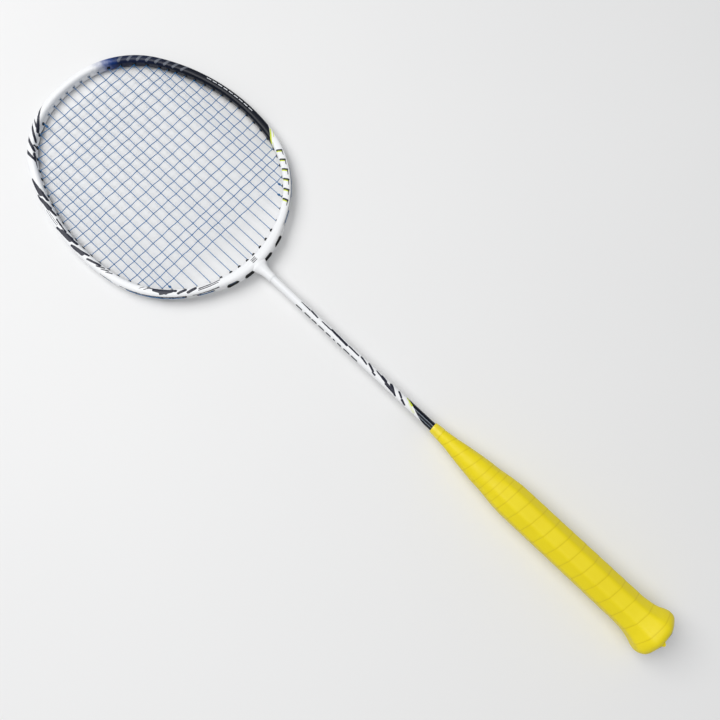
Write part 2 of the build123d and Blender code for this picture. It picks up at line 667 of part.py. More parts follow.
GRIP_FLOOR = BASE_GRIP_THICKNESS + 2 * SKIN_GAP
OVERGRIP_STATIONS = [(1.2, 16.1), (2.6, 16.8)] + CORE_STATIONS[1:]
UPPER_WRAP = [(158.0, 12.9), (166.0, 11.3), (176.0, 10.1), (186.0, 8.8), (196.0, 7.5),
              (206.0, 6.2), (216.0, 5.0), (OVERGRIP_TOP, 4.2)]
with BuildPart() as overgrip:
    add(handle_skin(OVERGRIP_STATIONS, GRIP_FLOOR + OVERGRIP_THICKNESS))
    with BuildSketch(Plane.XY):
        with BuildLine():
            wrap = [(radius, y) for y, radius in UPPER_WRAP]
            Polyline(*wrap, (0, OVERGRIP_TOP), (0, UPPER_WRAP[0][0]), close=True)
        make_face()
    revolve(axis=Axis.Y)
    hollow_stations = [(0.0, OVERGRIP_MOUTH_HALF)] + CORE_STATIONS[1:]
    add(handle_skin(hollow_stations, GRIP_FLOOR), mode=Mode.SUBTRACT)
    with BuildSketch(Plane.XY):
        with BuildLine():
            hollow = [(radius + 2 * SKIN_GAP, y) for y, radius in CONE_PROFILE]
            bore = SHAFT_RADIUS + 2 * SKIN_GAP
            Polyline(
                (0, CORE_TOP), *hollow, (bore, CONE_TOP + BORE_LEAD),
                (bore, OVERGRIP_TOP + BORE_LEAD), (0, OVERGRIP_TOP + BORE_LEAD), close=True,
            )
        make_face()
    revolve(axis=Axis.Y, mode=Mode.SUBTRACT)
finish_part(overgrip.part, "overgrip")

with BuildPart() as finishing_tape:
    with BuildSketch(Plane.XY):
        with BuildLine():
            low = OVERGRIP_TOP - TAPE_WIDTH
            gap = SKIN_GAP
            Polyline(
                (TAPE_LOW_RADIUS + gap, low),
                (TAPE_HIGH_RADIUS + gap, OVERGRIP_TOP),
                (TAPE_HIGH_RADIUS + gap + TAPE_THICKNESS, OVERGRIP_TOP),
                (TAPE_LOW_RADIUS + gap + TAPE_THICKNESS, low),
                close=True,
            )
        make_face()
    revolve(axis=Axis.Y)
finish_part(finishing_tape.part, "finishing_tape")
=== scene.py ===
import json
from math import atan2, cos, degrees, exp, hypot, pi, radians, sin, tan

import bpy
import numpy as np
from numpy.linalg import norm
from mathutils import Matrix, Vector, noise

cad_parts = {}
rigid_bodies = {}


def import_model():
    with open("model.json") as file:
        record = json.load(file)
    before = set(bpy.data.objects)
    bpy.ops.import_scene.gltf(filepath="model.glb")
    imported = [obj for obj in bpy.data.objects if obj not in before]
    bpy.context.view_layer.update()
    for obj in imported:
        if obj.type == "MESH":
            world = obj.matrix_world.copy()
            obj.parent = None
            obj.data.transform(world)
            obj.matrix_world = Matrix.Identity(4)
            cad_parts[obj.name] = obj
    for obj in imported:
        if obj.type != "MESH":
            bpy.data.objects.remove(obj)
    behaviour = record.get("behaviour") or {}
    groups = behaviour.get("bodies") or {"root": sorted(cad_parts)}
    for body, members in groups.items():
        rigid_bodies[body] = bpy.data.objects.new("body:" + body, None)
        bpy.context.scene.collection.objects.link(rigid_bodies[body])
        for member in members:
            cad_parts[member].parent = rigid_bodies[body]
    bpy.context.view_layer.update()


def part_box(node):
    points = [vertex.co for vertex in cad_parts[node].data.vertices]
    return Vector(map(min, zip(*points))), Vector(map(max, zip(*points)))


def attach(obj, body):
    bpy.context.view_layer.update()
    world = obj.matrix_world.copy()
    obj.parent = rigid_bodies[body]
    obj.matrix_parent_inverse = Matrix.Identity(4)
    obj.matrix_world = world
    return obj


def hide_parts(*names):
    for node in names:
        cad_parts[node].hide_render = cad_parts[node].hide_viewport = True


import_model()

# Badminton racket. The geometry below is in millimetres in the part's own frame and becomes
# metres in add_mesh. +Y runs to the head's tip, +X across the head, +Z normal to the strings.
MM = 0.001


def cad_box_mm(node):
    low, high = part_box(node)
    return np.array(low) / MM, np.array(high) / MM


# ---------------------------------------------------------------- sizes from the frame
HEAD_LOW, HEAD_HIGH = cad_box_mm("head_frame")
SHAFT_LOW, SHAFT_HIGH = cad_box_mm("shaft")
GRIP_TOP = cad_box_mm("overgrip")[1][1]
TAPE_LOW, TAPE_HIGH = cad_box_mm("finishing_tape")
OVERALL_LENGTH = HEAD_HIGH[1]
FRAME_HEIGHT = HEAD_HIGH[2] - HEAD_LOW[2]
SHAFT_RADIUS = (SHAFT_HIGH[0] - SHAFT_LOW[0]) / 2

# the head's section and arcs, as the part's source has them
FRAME_WIDTH, FRAME_CORNER = 7.5, 2.9
GROOVE_DEPTH, GROOVE_HALF = 1.3, 2.2
TIP_RADIUS, TIP_TURN = 115.0, 6.0
SHOULDER_RADIUS, SHOULDER_TURN = 74.6, 55.8
SIDE_RADIUS, SIDE_TURN = 187.0, 39.0
THROAT_SWELL, THROAT_SWELL_HALF_SPAN = 3.1, 46.0
MAIN_X = [4.1, 12.3, 20.8, 29.5, 39, 49, 58.1, 65.5, 72.1, 77.8, 84.5]
CROSS_Y = [652.9, 644.5, 635.8, 626.4, 617.6, 609.3, 601.2, 591.7, 582.1, 572.6, 562.8,
           552.6, 542.3, 532, 521.9, 511.8, 501.6, 491.8, 483.2, 474.5, 463.9]
SHARE_DISTANCE = 4.6
STRING_RADIUS = 0.34
MAIN_Z, CROSS_Z, WEAVE = -0.4, 0.4, 0.37
THROAT_EXIT_X = [7.9, 13.2, 23.3, 30.4]
SLOT_DEPTH, SLOT_HALF_HEIGHT, PAD_MARGIN = 7.4, 2.7, 2.4
THROAT_TIP = 2.0
THROAT_MAINS = len(THROAT_EXIT_X)
THROAT_ZONE = 140.0
BARREL_TIP, BARREL_RADIUS, BORE_RADIUS, HOLE_RADIUS = 0.8, 1.45, 1.0, 1.5
BOTH_SIDES = (1, -1)


# ---------------------------------------------------------------- hoop geometry
def hoop_arcs():
    """Centre, radius, first and last turn, and length before it, of each right-hand arc."""
    arcs = []
    centre_x, centre_y = 0.0, OVERALL_LENGTH - FRAME_WIDTH - TIP_RADIUS
    radius, turn, before = TIP_RADIUS, 0.0, 0.0
    following = [(SHOULDER_RADIUS, TIP_TURN), (SIDE_RADIUS, SHOULDER_TURN), (None, SIDE_TURN)]
    for next_radius, sweep in following:
        end = turn + sweep
        arcs.append((centre_x, centre_y, radius, turn, end, before))
        before += radius * radians(sweep)
        if next_radius is None:
            next_radius = radius + centre_x / sin(radians(end))
        centre_x += (radius - next_radius) * sin(radians(end))
        centre_y += (radius - next_radius) * cos(radians(end))
        radius, turn = next_radius, end
    arcs.append((centre_x, centre_y, radius, turn, 180.0, before))
    return arcs


ARCS = hoop_arcs()
THROAT_CENTRE_Y, THROAT_RADIUS = ARCS[-1][1], ARCS[-1][2]
THROAT_INNER_Y = THROAT_CENTRE_Y - THROAT_RADIUS
THROAT_OUTER_Y = THROAT_INNER_Y - FRAME_WIDTH
HALF_LENGTH = ARCS[-1][5] + THROAT_RADIUS * radians(180.0 - ARCS[-1][3])


def outward(turn):
    return np.array([sin(radians(turn)), cos(radians(turn)), 0.0])


def hoop_point(turn, depth=0.0, height=0.0):
    """Point beyond the inner wall by a depth; a negative turn is on the left half."""
    side = -1.0 if turn < 0 else 1.0
    for centre_x, centre_y, radius, _, end, _ in ARCS:
        if abs(turn) <= end + 1e-9:
            reach = radius + depth
            x = centre_x + reach * sin(radians(abs(turn)))
            y = centre_y + reach * cos(radians(abs(turn)))
            return np.array([side * x, y, height])


def turn_along(length):
    """Turn at a length along the inner wall from the tip, negative on the left half."""
    side = -1.0 if length < 0 else 1.0
    for _, _, radius, start, end, before in ARCS:
        turn = start + degrees((abs(length) - before) / radius)
        if turn <= end + 1e-6:
            return side * turn
    return side * 180.0


def find_turn(wanted, axis, low, high):
    """Turn between low and high where the inner wall's x or y has the wanted value."""
    rising = hoop_point(high)[axis] > hoop_point(low)[axis]
    for _ in range(50):
        middle = (low + high) / 2
        if (hoop_point(middle)[axis] < wanted) == rising:
            low = middle
        else:
            high = middle
    return (low + high) / 2


MAINS_TOP = [find_turn(x, 0, 0.0, 80.0) for x in MAIN_X]
MAINS_BOTTOM = [find_turn(x, 0, 100.0, 180.0) for x in MAIN_X]
CROSSES = [find_turn(y, 1, 0.0, 180.0) for y in CROSS_Y]
for mains in (MAINS_TOP, MAINS_BOTTOM):
    for i in range(len(mains)):
        for j in range(len(CROSSES)):
            if norm(hoop_point(mains[i]) - hoop_point(CROSSES[j])) < SHARE_DISTANCE:
                mains[i] = CROSSES[j] = (mains[i] + CROSSES[j]) / 2
THROAT_TURNS = MAINS_BOTTOM[:THROAT_MAINS]
ALL_TURNS = sorted({round(t, 6) for t in MAINS_TOP + MAINS_BOTTOM[THROAT_MAINS:] + CROSSES})
THROAT_EXITS = [180.0 - degrees(atan2(x, THROAT_RADIUS + SLOT_DEPTH)) for x in THROAT_EXIT_X]


# ---------------------------------------------------------------- mesh helpers
def add_object(name, data):
    made = bpy.data.objects.new(name, data)
    bpy.context.scene.collection.objects.link(made)
    return made


def add_mesh(name, points, faces, uv=None, sharp=40.0):
    """A smooth-shaded piece from points in millimetres, its faces turned outward."""
    points = np.asarray(points, float) * MM
    mesh = bpy.data.meshes.new(name)
    mesh.from_pydata(points.tolist(), [], [list(map(int, f)) for f in faces])
    if uv is not None:
        layer = mesh.uv_layers.new(name="paint")
        layer.data.foreach_set("uv", np.asarray(uv, float).ravel())
    mesh.calc_loop_triangles()
    tri = np.zeros(len(mesh.loop_triangles) * 3, np.int32)
    mesh.loop_triangles.foreach_get("vertices", tri)
    a, b, c = (points[tri.reshape(-1, 3)[:, k]] for k in range(3))
    if np.einsum("ij,ij->", a, np.cross(b, c)) < 0:
        mesh.flip_normals()
    mesh.polygons.foreach_set("use_smooth", [True] * len(mesh.polygons))
    mesh.set_sharp_from_angle(angle=radians(sharp))
    mesh.update()
    return add_object(name, mesh)


def grid_faces(rows, columns, wrap_rows, wrap_columns):
    i, j = np.meshgrid(
        np.arange(rows if wrap_rows else rows - 1),
        np.arange(columns if wrap_columns else columns - 1),
        indexing="ij",
    )
    i2, j2 = (i + 1) % rows, (j + 1) % columns
    corners = [i * columns + j, i2 * columns + j, i2 * columns + j2, i * columns + j2]
    return np.stack(corners, -1).reshape(-1, 4)


def grid_uv(u, v):
    """Corner coordinates of a grid's faces, from values one longer where the grid wraps."""
    corners = [(slice(0, -1), slice(0, -1)), (slice(1, None), slice(0, -1)),
               (slice(1, None), slice(1, None)), (slice(0, -1), slice(1, None))]
    return np.stack([np.stack([u[c], v[c]], -1) for c in corners], 2).reshape(-1, 2)


def end_faces(rows, columns):
    return [list(range(columns)), [(rows - 1) * columns + k for k in range(columns)][::-1]]


def join_parts(parts):
    """Points and faces of several closed shapes as one list of each."""
    points, faces, count = [], [], 0
    for part_points, part_faces in parts:
        points.extend(part_points)
        faces.extend([[v + count for v in face] for face in part_faces])
        count += len(part_points)
    return points, faces


def loft_rings(rings):
    """Points and faces of a closed shape through rings of equal size."""
    rows, columns = len(rings), len(rings[0])
    points = [p for ring in rings for p in ring]
    faces = [list(f) for f in grid_faces(rows, columns, False, True)]
    faces += end_faces(rows, columns)
    return points, faces


def loop_rings(rings):
    """Points and faces through rings of equal size, the last ring meeting the first."""
    points = [p for ring in rings for p in ring]
    return points, grid_faces(len(rings), len(rings[0]), True, True).tolist()


def circle(sides):
    return [2 * pi * k / sides for k in range(sides)]


def axes_from(direction, hint=(0.0, 0.0, 1.0)):
    """Two unit vectors square to a direction, the first near the hint."""
    direction = np.array(direction) / norm(direction)
    first = np.array(hint) - direction * np.dot(hint, direction)
    first /= norm(first)
    return first, np.cross(direction, first), direction


def turned(profile, origin, direction, sides=24, closed=False):
    """Shape turned about a line from (radius, distance) pairs."""
    first, second, along = axes_from(direction)
    rings = [[origin + along * distance + radius * (cos(a) * first + sin(a) * second)
              for a in circle(sides)] for radius, distance in profile]
    return loop_rings(rings) if closed else loft_rings(rings)


def smooth_steps(value, low, high):
    t = min(max((value - low) / (high - low), 0.0), 1.0)
    return t * t * (3 - 2 * t)


def spline(points, step):
    """A smooth curve through points, with its points about a step apart."""
    points = np.array(points, float)
    before = np.vstack([2 * points[0] - points[1], points, 2 * points[-1] - points[-2]])
    result = []
    for k in range(len(points) - 1):
        p0, p1, p2, p3 = before[k:k + 4]
        count = max(2, int(norm(p2 - p1) / step))
        for t in np.arange(count) / count:
            result.append(0.5 * (2 * p1 + (p2 - p0) * t + (2 * p0 - 5 * p1 + 4 * p2 - p3) * t**2
                                 + (3 * p1 - p0 - 3 * p2 + p3) * t**3))
    result.append(points[-1])
    return np.array(result)


def boolean(piece, cutter, operation):
    """Cut or join with another closed piece, which is used up."""
    change = piece.modifiers.new("change", "BOOLEAN")
    change.operation = operation
    change.solver = "MANIFOLD"
    change.object = cutter
    evaluated = piece.evaluated_get(bpy.context.evaluated_depsgraph_get())
    mesh = bpy.data.meshes.new_from_object(evaluated)
    piece.modifiers.clear()
    old = piece.data
    piece.data = mesh
    bpy.data.meshes.remove(old)
    bpy.data.objects.remove(cutter)


def finish_piece(piece, material, slot, *nodes):
    """Give a piece its material and its body, and hide the nodes it stands for; the slot is not
    used.
    """
    piece.data.materials.clear()
    piece.data.materials.append(material)
    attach(piece, "root")
    if nodes:
        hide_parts(*nodes)


# ---------------------------------------------------------------- shader helpers
class NodeTree:
    """Small node expressions in a material's tree or in a node group."""

    def __init__(self, tree):
        self.tree = tree

    def node(self, kind, settings=(), inputs=()):
        made = self.tree.nodes.new(kind)
        for key, value in dict(settings).items():
            setattr(made, key, value)
        for key, value in dict(inputs).items():
            self.feed(made.inputs[key], value)
        return made

    def feed(self, socket, value):
        if isinstance(value, bpy.types.NodeSocket):
            self.tree.links.new(value, socket)
        else:
            socket.default_value = value

    def math(self, operation, *values):
        return self.node("ShaderNodeMath", {"operation": operation},
                         dict(enumerate(values))).outputs[0]

    def vector(self, operation, *values, result=0):
        return self.node("ShaderNodeVectorMath", {"operation": operation},
                         dict(enumerate(values))).outputs[result]

    def spread(self, value, low, high, to_low=0.0, to_high=1.0, kind="SMOOTHSTEP"):
        inputs = {0: value, 1: low, 2: high, 3: to_low, 4: to_high}
        return self.node("ShaderNodeMapRange", {"interpolation_type": kind}, inputs).outputs[0]


class Shader(NodeTree):
    """A Principled material whose sockets are fed by node expressions."""

    def __init__(self, name):
        self.material = bpy.data.materials.new(name)
        self.material.use_nodes = True
        super().__init__(self.material.node_tree)
        self.surface = self.tree.nodes["Principled BSDF"]

    def object_place(self):
        return self.node("ShaderNodeTexCoord").outputs["Object"]

    def noise(self, scale, place=None, detail=3.0, rough=0.55):
        inputs = {"Scale": scale, "Detail": detail, "Roughness": rough}
        inputs["Vector"] = place or self.object_place()
        return self.node("ShaderNodeTexNoise", (), inputs).outputs["Fac"]

    def mix(self, factor, first, second):
        inputs = {0: factor, 6: first, 7: second}
        return self.node("ShaderNodeMix", {"data_type": "RGBA"}, inputs).outputs[2]

    def bump(self, height, distance, strength=1.0):
        inputs = {"Height": height, "Distance": distance, "Strength": strength}
        self.set(Normal=self.node("ShaderNodeBump", (), inputs).outputs[0])

    def set(self, **values):
        for key, value in values.items():
            self.feed(self.surface.inputs[key.replace("_", " ")], value)


def rgb(red, green, blue):
    return (red, green, blue, 1.0)


STROKE_SOFTNESS = 0.06


def stroke_group():
    """Node group for one brush stroke: a tapered bar between two points of the paint map."""
    group = bpy.data.node_groups.new("brush_stroke", "ShaderNodeTree")
    for name in ("Place", "Start", "Reach", "Unit", "Widths"):
        group.interface.new_socket(name, in_out="INPUT", socket_type="NodeSocketVector")
    group.interface.new_socket("Mask", in_out="OUTPUT", socket_type="NodeSocketFloat")
    nodes = NodeTree(group)
    given = nodes.node("NodeGroupInput").outputs
    offset = nodes.vector("SUBTRACT", given["Place"], given["Start"])
    share = nodes.vector("DOT_PRODUCT", offset, given["Unit"], result="Value")
    held = nodes.node("ShaderNodeClamp", (), {0: share}).outputs[0]
    nearest = nodes.node("ShaderNodeVectorMath", {"operation": "SCALE"},
                         {0: given["Reach"], "Scale": held}).outputs[0]
    away = nodes.vector("DISTANCE", offset, nearest, result="Value")
    widths = nodes.node("ShaderNodeSeparateXYZ", (), {0: given["Widths"]}).outputs
    width = nodes.spread(held, 0.0, 1.0, widths[0], widths[1], "LINEAR")
    edge = nodes.math("SUBTRACT", width, away)
    mask = nodes.spread(edge, -STROKE_SOFTNESS, STROKE_SOFTNESS, kind="LINEAR")
    nodes.node("NodeGroupOutput", (), {"Mask": mask})
    return group


STROKE = stroke_group()


EDGE_SOFTNESS = 0.15


class Paint(Shader):
    """Clear-coated paint whose strokes are placed by a mesh's paint map."""

    def __init__(self, name, wobble):
        super().__init__(name)
        place = self.node("ShaderNodeUVMap", {"uv_map": "paint"}).outputs[0]
        shake = self.node("ShaderNodeTexNoise", (),
                          {"Vector": place, "Scale": 0.6, "Detail": 3.0}).outputs["Color"]
        centred = self.vector("SUBTRACT", shake, (0.5, 0.5, 0.5))
        shaken = self.vector("MULTIPLY_ADD", centred, (wobble, wobble, 0.0), place)
        self.place = self.vector("MULTIPLY", shaken, (1.0, 1.0, 0.0))
        self.u, self.v = self.node("ShaderNodeSeparateXYZ", (), {0: self.place}).outputs[:2]

    def before(self, end, slope):
        """Mask of the places whose u is under an end that slopes with v."""
        line = self.math("MULTIPLY_ADD", self.v, slope, end)
        return self.spread(self.math("SUBTRACT", line, self.u), -EDGE_SOFTNESS, EDGE_SOFTNESS)

    def brush(self, color, marks, paint, strength=None):
        """A colour with strokes of a paint over it.

        Each stroke is (start u, start v, end u, end v, half width at its start and its end).
        """
        mask = None
        for u0, v0, u1, v1, w0, w1 in marks:
            reach = Vector((u1 - u0, v1 - v0, 0.0))
            inputs = {"Place": self.place, "Start": (u0, v0, 0.0), "Reach": reach,
                      "Unit": reach / reach.length_squared, "Widths": (w0, w1, 0.0)}
            made = self.node("ShaderNodeGroup", {"node_tree": STROKE}, inputs).outputs["Mask"]
            mask = self.math("MAXIMUM", mask, made) if mask else made
        if strength is not None:
            mask = self.math("MULTIPLY", mask, strength)
        return self.mix(mask, color, paint)

    def coated(self, color):
        """The finished material: a faint orange peel and a few fine scuffs under a coat."""
        scuffs = self.spread(self.noise(900.0, detail=5.0, rough=0.7), 0.62, 0.75)
        peel = self.noise(1400.0, detail=2.0)
        self.set(
            Base_Color=self.mix(self.math("MULTIPLY", scuffs, 0.10), color, rgb(0.5, 0.5, 0.5)),
            Roughness=self.math("MULTIPLY_ADD", scuffs, 0.25, 0.30),
            Specular_IOR_Level=0.17,
            Coat_Weight=0.09,
            Coat_Roughness=0.07,
        )
        self.bump(peel, 0.00003, 0.6)
        return self.material


PAINT_WHITE = rgb(0.86, 0.87, 0.885)
PAINT_DARK = rgb(0.022, 0.024, 0.040)
PAINT_BLACK = rgb(0.003, 0.005, 0.012)
PAINT_NAVY = rgb(0.004, 0.010, 0.040)
PAINT_BLUE = rgb(0.006, 0.050, 0.26)
PAINT_LIME = rgb(0.62, 0.72, 0.04)


def bars(first, pitch, count, low, high, slant, width):
    """Evenly spaced slanted bars."""
    starts = [first + pitch * k for k in range(count)]
    return [(u, low, u + slant, high, width, width) for u in starts]


FADE_CLOUD = 14.0
BLUE_FADE, BLACK_FADE, NAVY_FADE = (31, 53), (44, 62), (60, 130)
BLACK_END, BLACK_END_SLOPE = 221.0, -1.9
BAR_PITCH, BAR_COUNT = 9.2, 6


def frame_paint():
    """White, fading through blue to black at the right shoulder, with strokes and bars.

    On the paint map u is the length round the inner wall from the tip, negative on the left
    half, and v the distance across from the inner wall, both in millimetres.
    """
    paint = Paint("frame_paint", 0.7)
    cloud = paint.noise(0.22, paint.place, detail=4.0)
    begin = paint.math("MULTIPLY_ADD", cloud, FADE_CLOUD, paint.u)
    before_end = paint.before(BLACK_END, BLACK_END_SLOPE)
    blue = paint.math("MULTIPLY", paint.spread(begin, *BLUE_FADE), before_end)
    black = paint.math("MULTIPLY", paint.spread(begin, *BLACK_FADE), before_end)
    deep = paint.mix(paint.spread(begin, *NAVY_FADE), PAINT_NAVY, PAINT_BLACK)
    color = paint.mix(black, paint.mix(blue, PAINT_WHITE, PAINT_BLUE), deep)
    # plain bars and dashes on the black
    grey_bars = bars(51, 8.4, 8, 1.4, 6, 3.2, 1.15)
    color = paint.brush(color, grey_bars, rgb(0.20, 0.22, 0.26), 0.55)
    dashes = [(u0, 4.7, u0 + 4, 4.7, 0.33, 0.33) for u0 in range(135, 184, 6)]
    color = paint.brush(color, dashes, rgb(0.7, 0.72, 0.75))
    # lime lines along the slanted end, then dark bars with lime edges beyond it
    lime = [(222.6, -0.2, 210.8, 6.3, 0.8, 0.5), (219, 4.6, 213.6, 7.6, 0.35, 0.2),
            (226.6, -0.6, 223, 1.6, 0.3, 0.2)]
    lime += bars(232.6, BAR_PITCH, BAR_COUNT, 0.9, 5.3, 1.4, 0.55)
    color = paint.brush(color, lime, PAINT_LIME)
    dark = bars(231.4, BAR_PITCH, BAR_COUNT, 1, 5.4, 1.4, 0.75)
    dark += [(232.6 + BAR_PITCH * k, 5.3, 237.2 + BAR_PITCH * k, 5.3, 0.45, 0.3)
             for k in range(BAR_COUNT)]
    # brush strokes round the left half, from the tip towards the throat
    dark += [
        (-50, -0.6, -24, 7.9, 1.7, 0.3), (-60, -0.6, -42.5, 7.8, 1.3, 0.6),
        (-46.5, 1.8, -38.5, 7.6, 0.9, 0.3), (-69, 0.2, -56, 7.6, 1.3, 1),
        (-79, -0.4, -68.5, 7.6, 1.1, 1.2), (-85, -1.4, -72, 0.2, 0.5, 1.2),
        (-75.5, -3, -73.5, 0.5, 0.8, 1), (-65.5, -3, -64, 0.5, 0.7, 0.9),
        (-119.5, 0.4, -96, 6.9, 1.3, 1.2), (-112, 3.2, -100, 6, 2.4, 1.1),
        (-136, 0.6, -112, 7, 1.1, 1), (-128, 2.4, -117, 5, 2.1, 1.2), (-170, 1, -147, 5.6, 1.3, 1),
        (-163, 2.6, -152, 4.2, 2.5, 1.6), (-155, 1.6, -140, 1.9, 0.7, 0.6),
        (-185, 1.3, -168, 5.4, 1, 1.1), (-180, 3.6, -170.5, 4.9, 1.9, 1.5),
        (-198.5, 1.4, -186.5, 4.2, 1.1, 0.9), (-203, 1.3, -196.5, 3.8, 0.7, 0.5),
        (-207.5, 1.3, -201.5, 3.6, 0.6, 0.35), (-211.5, 1.4, -206.5, 3.4, 0.5, 0.3),
        (-241.5, 1, -238, 3.4, 0.3, 0.2), (-246, 1, -242, 3.6, 0.4, 0.3),
        (-268, 2, -244.5, 0.9, 1.2, 0.6), (-265, 2, -256, 4.6, 1.6, 1.3),
        (-260, 3.2, -250, 2.2, 2.2, 1.3), (-276, 1.8, -270, 4.4, 1.3, 1),
        (-284, 1.9, -278, 4.4, 1.4, 1.2), (-305, 1.7, -287, 3, 0.4, 0.5),
        (-303, 3.2, -286.5, 4.4, 0.35, 0.45), (-145, 4.6, -128, 5.4, 0.2, 0.2),
        (-145, 3.4, -130, 4.2, 0.2, 0.2),
    ]
    # thin lines along the outer edge
    dark += [
        (224, 7.5, 262, 7.9, 0.12, 0.3), (262, 7.9, 300, 7.6, 0.3, 0.12),
        (-214, 7.8, -203, 7.7, 0.3, 0.3), (-240, 7.9, -222, 7.8, 0.3, 0.3),
        (-276, 7.8, -241, 7.9, 0.5, 0.3), (-302, 7.4, -281, 7.8, 0.5, 0.3),
    ]
    color = paint.brush(color, dark, PAINT_DARK)
    # a few small plain marks at the tip and at the throat's middle
    tip_marks = [(u0, 8.3, u0 + 1.4, 8.3, 0.3, 0.3) for u0 in range(-11, 11, 3)]
    color = paint.brush(color, tip_marks, rgb(0.2, 0.2, 0.22))
    lines = [(side * 334.9, depth, side * 337.4, depth, 0.36, 0.36)
             for side in BOTH_SIDES for depth in (2.6, 4, 5.4)]
    color = paint.brush(color, lines, PAINT_BLACK)
    return paint.coated(color)


SHAFT_BLACK_END, SHAFT_BLACK_SLOPE = 244.5, 2.6


def shaft_paint():
    """White with strokes, and black with a slanted edge at the handle.

    On the paint map u is the distance from the butt and v the distance round from the middle
    of the face, both in millimetres.
    """
    paint = Paint("shaft_paint", 0.5)
    # strokes on the right of the shaft, then short ones on its left
    dark = [
        (252.5, -3.15, 256.5, -1.45, 0.875, 1), (258, -0.45, 262.5, 2.05, 0.75, 0.875),
        (263, -2.85, 271, 1.95, 0.875, 1.375), (264.5, -2.25, 275, -1.15, 0.625, 0.625),
        (269, -1.05, 287, 2.15, 1, 0.625), (276, 0.75, 281, 1.95, 1.25, 1),
        (286, -1.65, 289, -1.35, 0.75, 0.625), (289, -0.45, 295.5, 2.25, 0.875, 1),
        (297, 0.25, 304, 1.95, 0.625, 0.875), (306.5, 0.95, 317.5, 1.45, 0.625, 0.75),
        (319.5, 0.75, 337, 1.75, 1.125, 1.125), (338, 1.05, 348, 1.15, 0.625, 0.5),
        (353, 1.05, 360.5, 1.75, 0.625, 0.875), (362, 1.35, 372, 1.55, 0.625, 0.375),
    ]
    left_ends = [
        (305.2, 310.6), (313.7, 319.1), (323.2, 326.1), (330.2, 331.1), (335.2, 339.1),
        (342.7, 347.6), (351.2, 355.6), (358.2, 363.6), (368.2, 373.6),
    ]
    dark += [(low, -4.1, high, -4.1, 0.95, 0.95) for low, high in left_ends]
    color = paint.brush(PAINT_WHITE, dark, PAINT_DARK)
    # black end with a slanted edge and lime lines along it
    black = paint.before(SHAFT_BLACK_END, SHAFT_BLACK_SLOPE)
    pale, lime = [(243, -2.6, 250.5, 0.4, 1.1, 0.7)], [(247.5, 0.6, 254.5, 3, 0.7, 0.5)]
    color = paint.brush(color, pale, rgb(0.72, 0.78, 0.30), 0.5)
    color = paint.brush(color, lime, PAINT_LIME)
    color = paint.mix(black, color, PAINT_BLACK)
    # two pale lengthwise lines on the black end are painted highlights, the reflections of lights
    # on the gloss black
    highlight_streaks = [(200, 0.15, 246, 0.15, 0.22, 0.22), (200, -2, 240, -2, 0.22, 0.22)]
    color = paint.brush(color, highlight_streaks, rgb(0.25, 0.29, 0.33), black)
    return paint.coated(color)


COLOR_CHANGE, ROUGHNESS_CHANGE = 0.12, 0.07


def stock(name, darker, lighter, roughness, grain, broad, depth, **sockets):
    """Moulded, cast or drawn stock: two near colours, fine grain and slight wear."""
    shader = Shader(name)
    fine = shader.noise(grain[0], detail=grain[1])
    change = shader.noise(broad[0], detail=broad[1]) if broad else fine
    shader.set(Base_Color=shader.mix(change, darker, lighter),
               Roughness=shader.spread(fine, 0.3, 0.7, *roughness), **sockets)
    shader.bump(fine, depth)
    return shader.material


def plain(name, color, roughness, grain=1500.0, depth=0.00004, **sockets):
    """Stock of one colour."""
    darker = rgb(*[c * (1.0 - COLOR_CHANGE) for c in color[:3]])
    lighter = rgb(*[min(1.0, c * (1.0 + COLOR_CHANGE) + 0.004) for c in color[:3]])
    span = (roughness - ROUGHNESS_CHANGE, roughness + ROUGHNESS_CHANGE)
    return stock(name, darker, lighter, span, (grain, 4.0), (grain / 12.0, 3.0), depth,
                 Coat_Roughness=0.08, **sockets)


# ---------------------------------------------------------------- head frame
SECTION_TOP = FRAME_HEIGHT / 2
LIP = 0.3


def section(outer, groove):
    """Upper half of the frame's section, from the inner wall's middle to the outer one's."""
    corner = FRAME_CORNER
    outer_corner = min(corner + 0.5 * (outer - FRAME_WIDTH), SECTION_TOP - 0.1)
    points = [(0.0, h) for h in np.linspace(0.0, SECTION_TOP - corner, 4)[:-1]]
    for a in np.linspace(180.0, 90.0, 10):
        points.append((corner + corner * cos(radians(a)),
                       SECTION_TOP - corner + corner * sin(radians(a))))
    points += [(d, SECTION_TOP) for d in np.linspace(corner, outer - outer_corner, 4)[1:-1]]
    base = SECTION_TOP - outer_corner
    last_angle = groove * degrees(np.arcsin(max(0.0, GROOVE_HALF + LIP - base) / outer_corner))
    for a in np.linspace(90.0, last_angle, 11):
        points.append((outer - outer_corner + outer_corner * cos(radians(a)),
                       base + outer_corner * sin(radians(a))))
    edge, floor = points[-1][0], outer - GROOVE_DEPTH
    cut = [(edge - 0.01, GROOVE_HALF + 0.14), (edge - 0.10, GROOVE_HALF + 0.03),
           (edge - 0.30, GROOVE_HALF - 0.02), (floor + 0.35, GROOVE_HALF - 0.06),
           (floor + 0.08, GROOVE_HALF - 0.18), (floor, GROOVE_HALF - 0.45),
           (floor, GROOVE_HALF / 2), (floor, 0.0)]
    for k, (depth, height) in enumerate(cut):
        flat_height = base * (1.0 - (k + 1) / len(cut))
        points.append((groove * depth + (1 - groove) * outer,
                       groove * height + (1 - groove) * flat_height))
    return np.array(points)


SWELL_BLEND, SWELL_END_SINK = 0.5, 0.4
SWELL_LOW_Y = THROAT_OUTER_Y - THROAT_SWELL
swell_end = hoop_point(180.0 - degrees(atan2(THROAT_SWELL_HALF_SPAN, THROAT_RADIUS + FRAME_WIDTH)),
                       FRAME_WIDTH - SWELL_END_SINK)
SWELL_RADIUS = hypot(swell_end[0], swell_end[1] - SWELL_LOW_Y) ** 2 / (
    2 * (swell_end[1] - SWELL_LOW_Y))


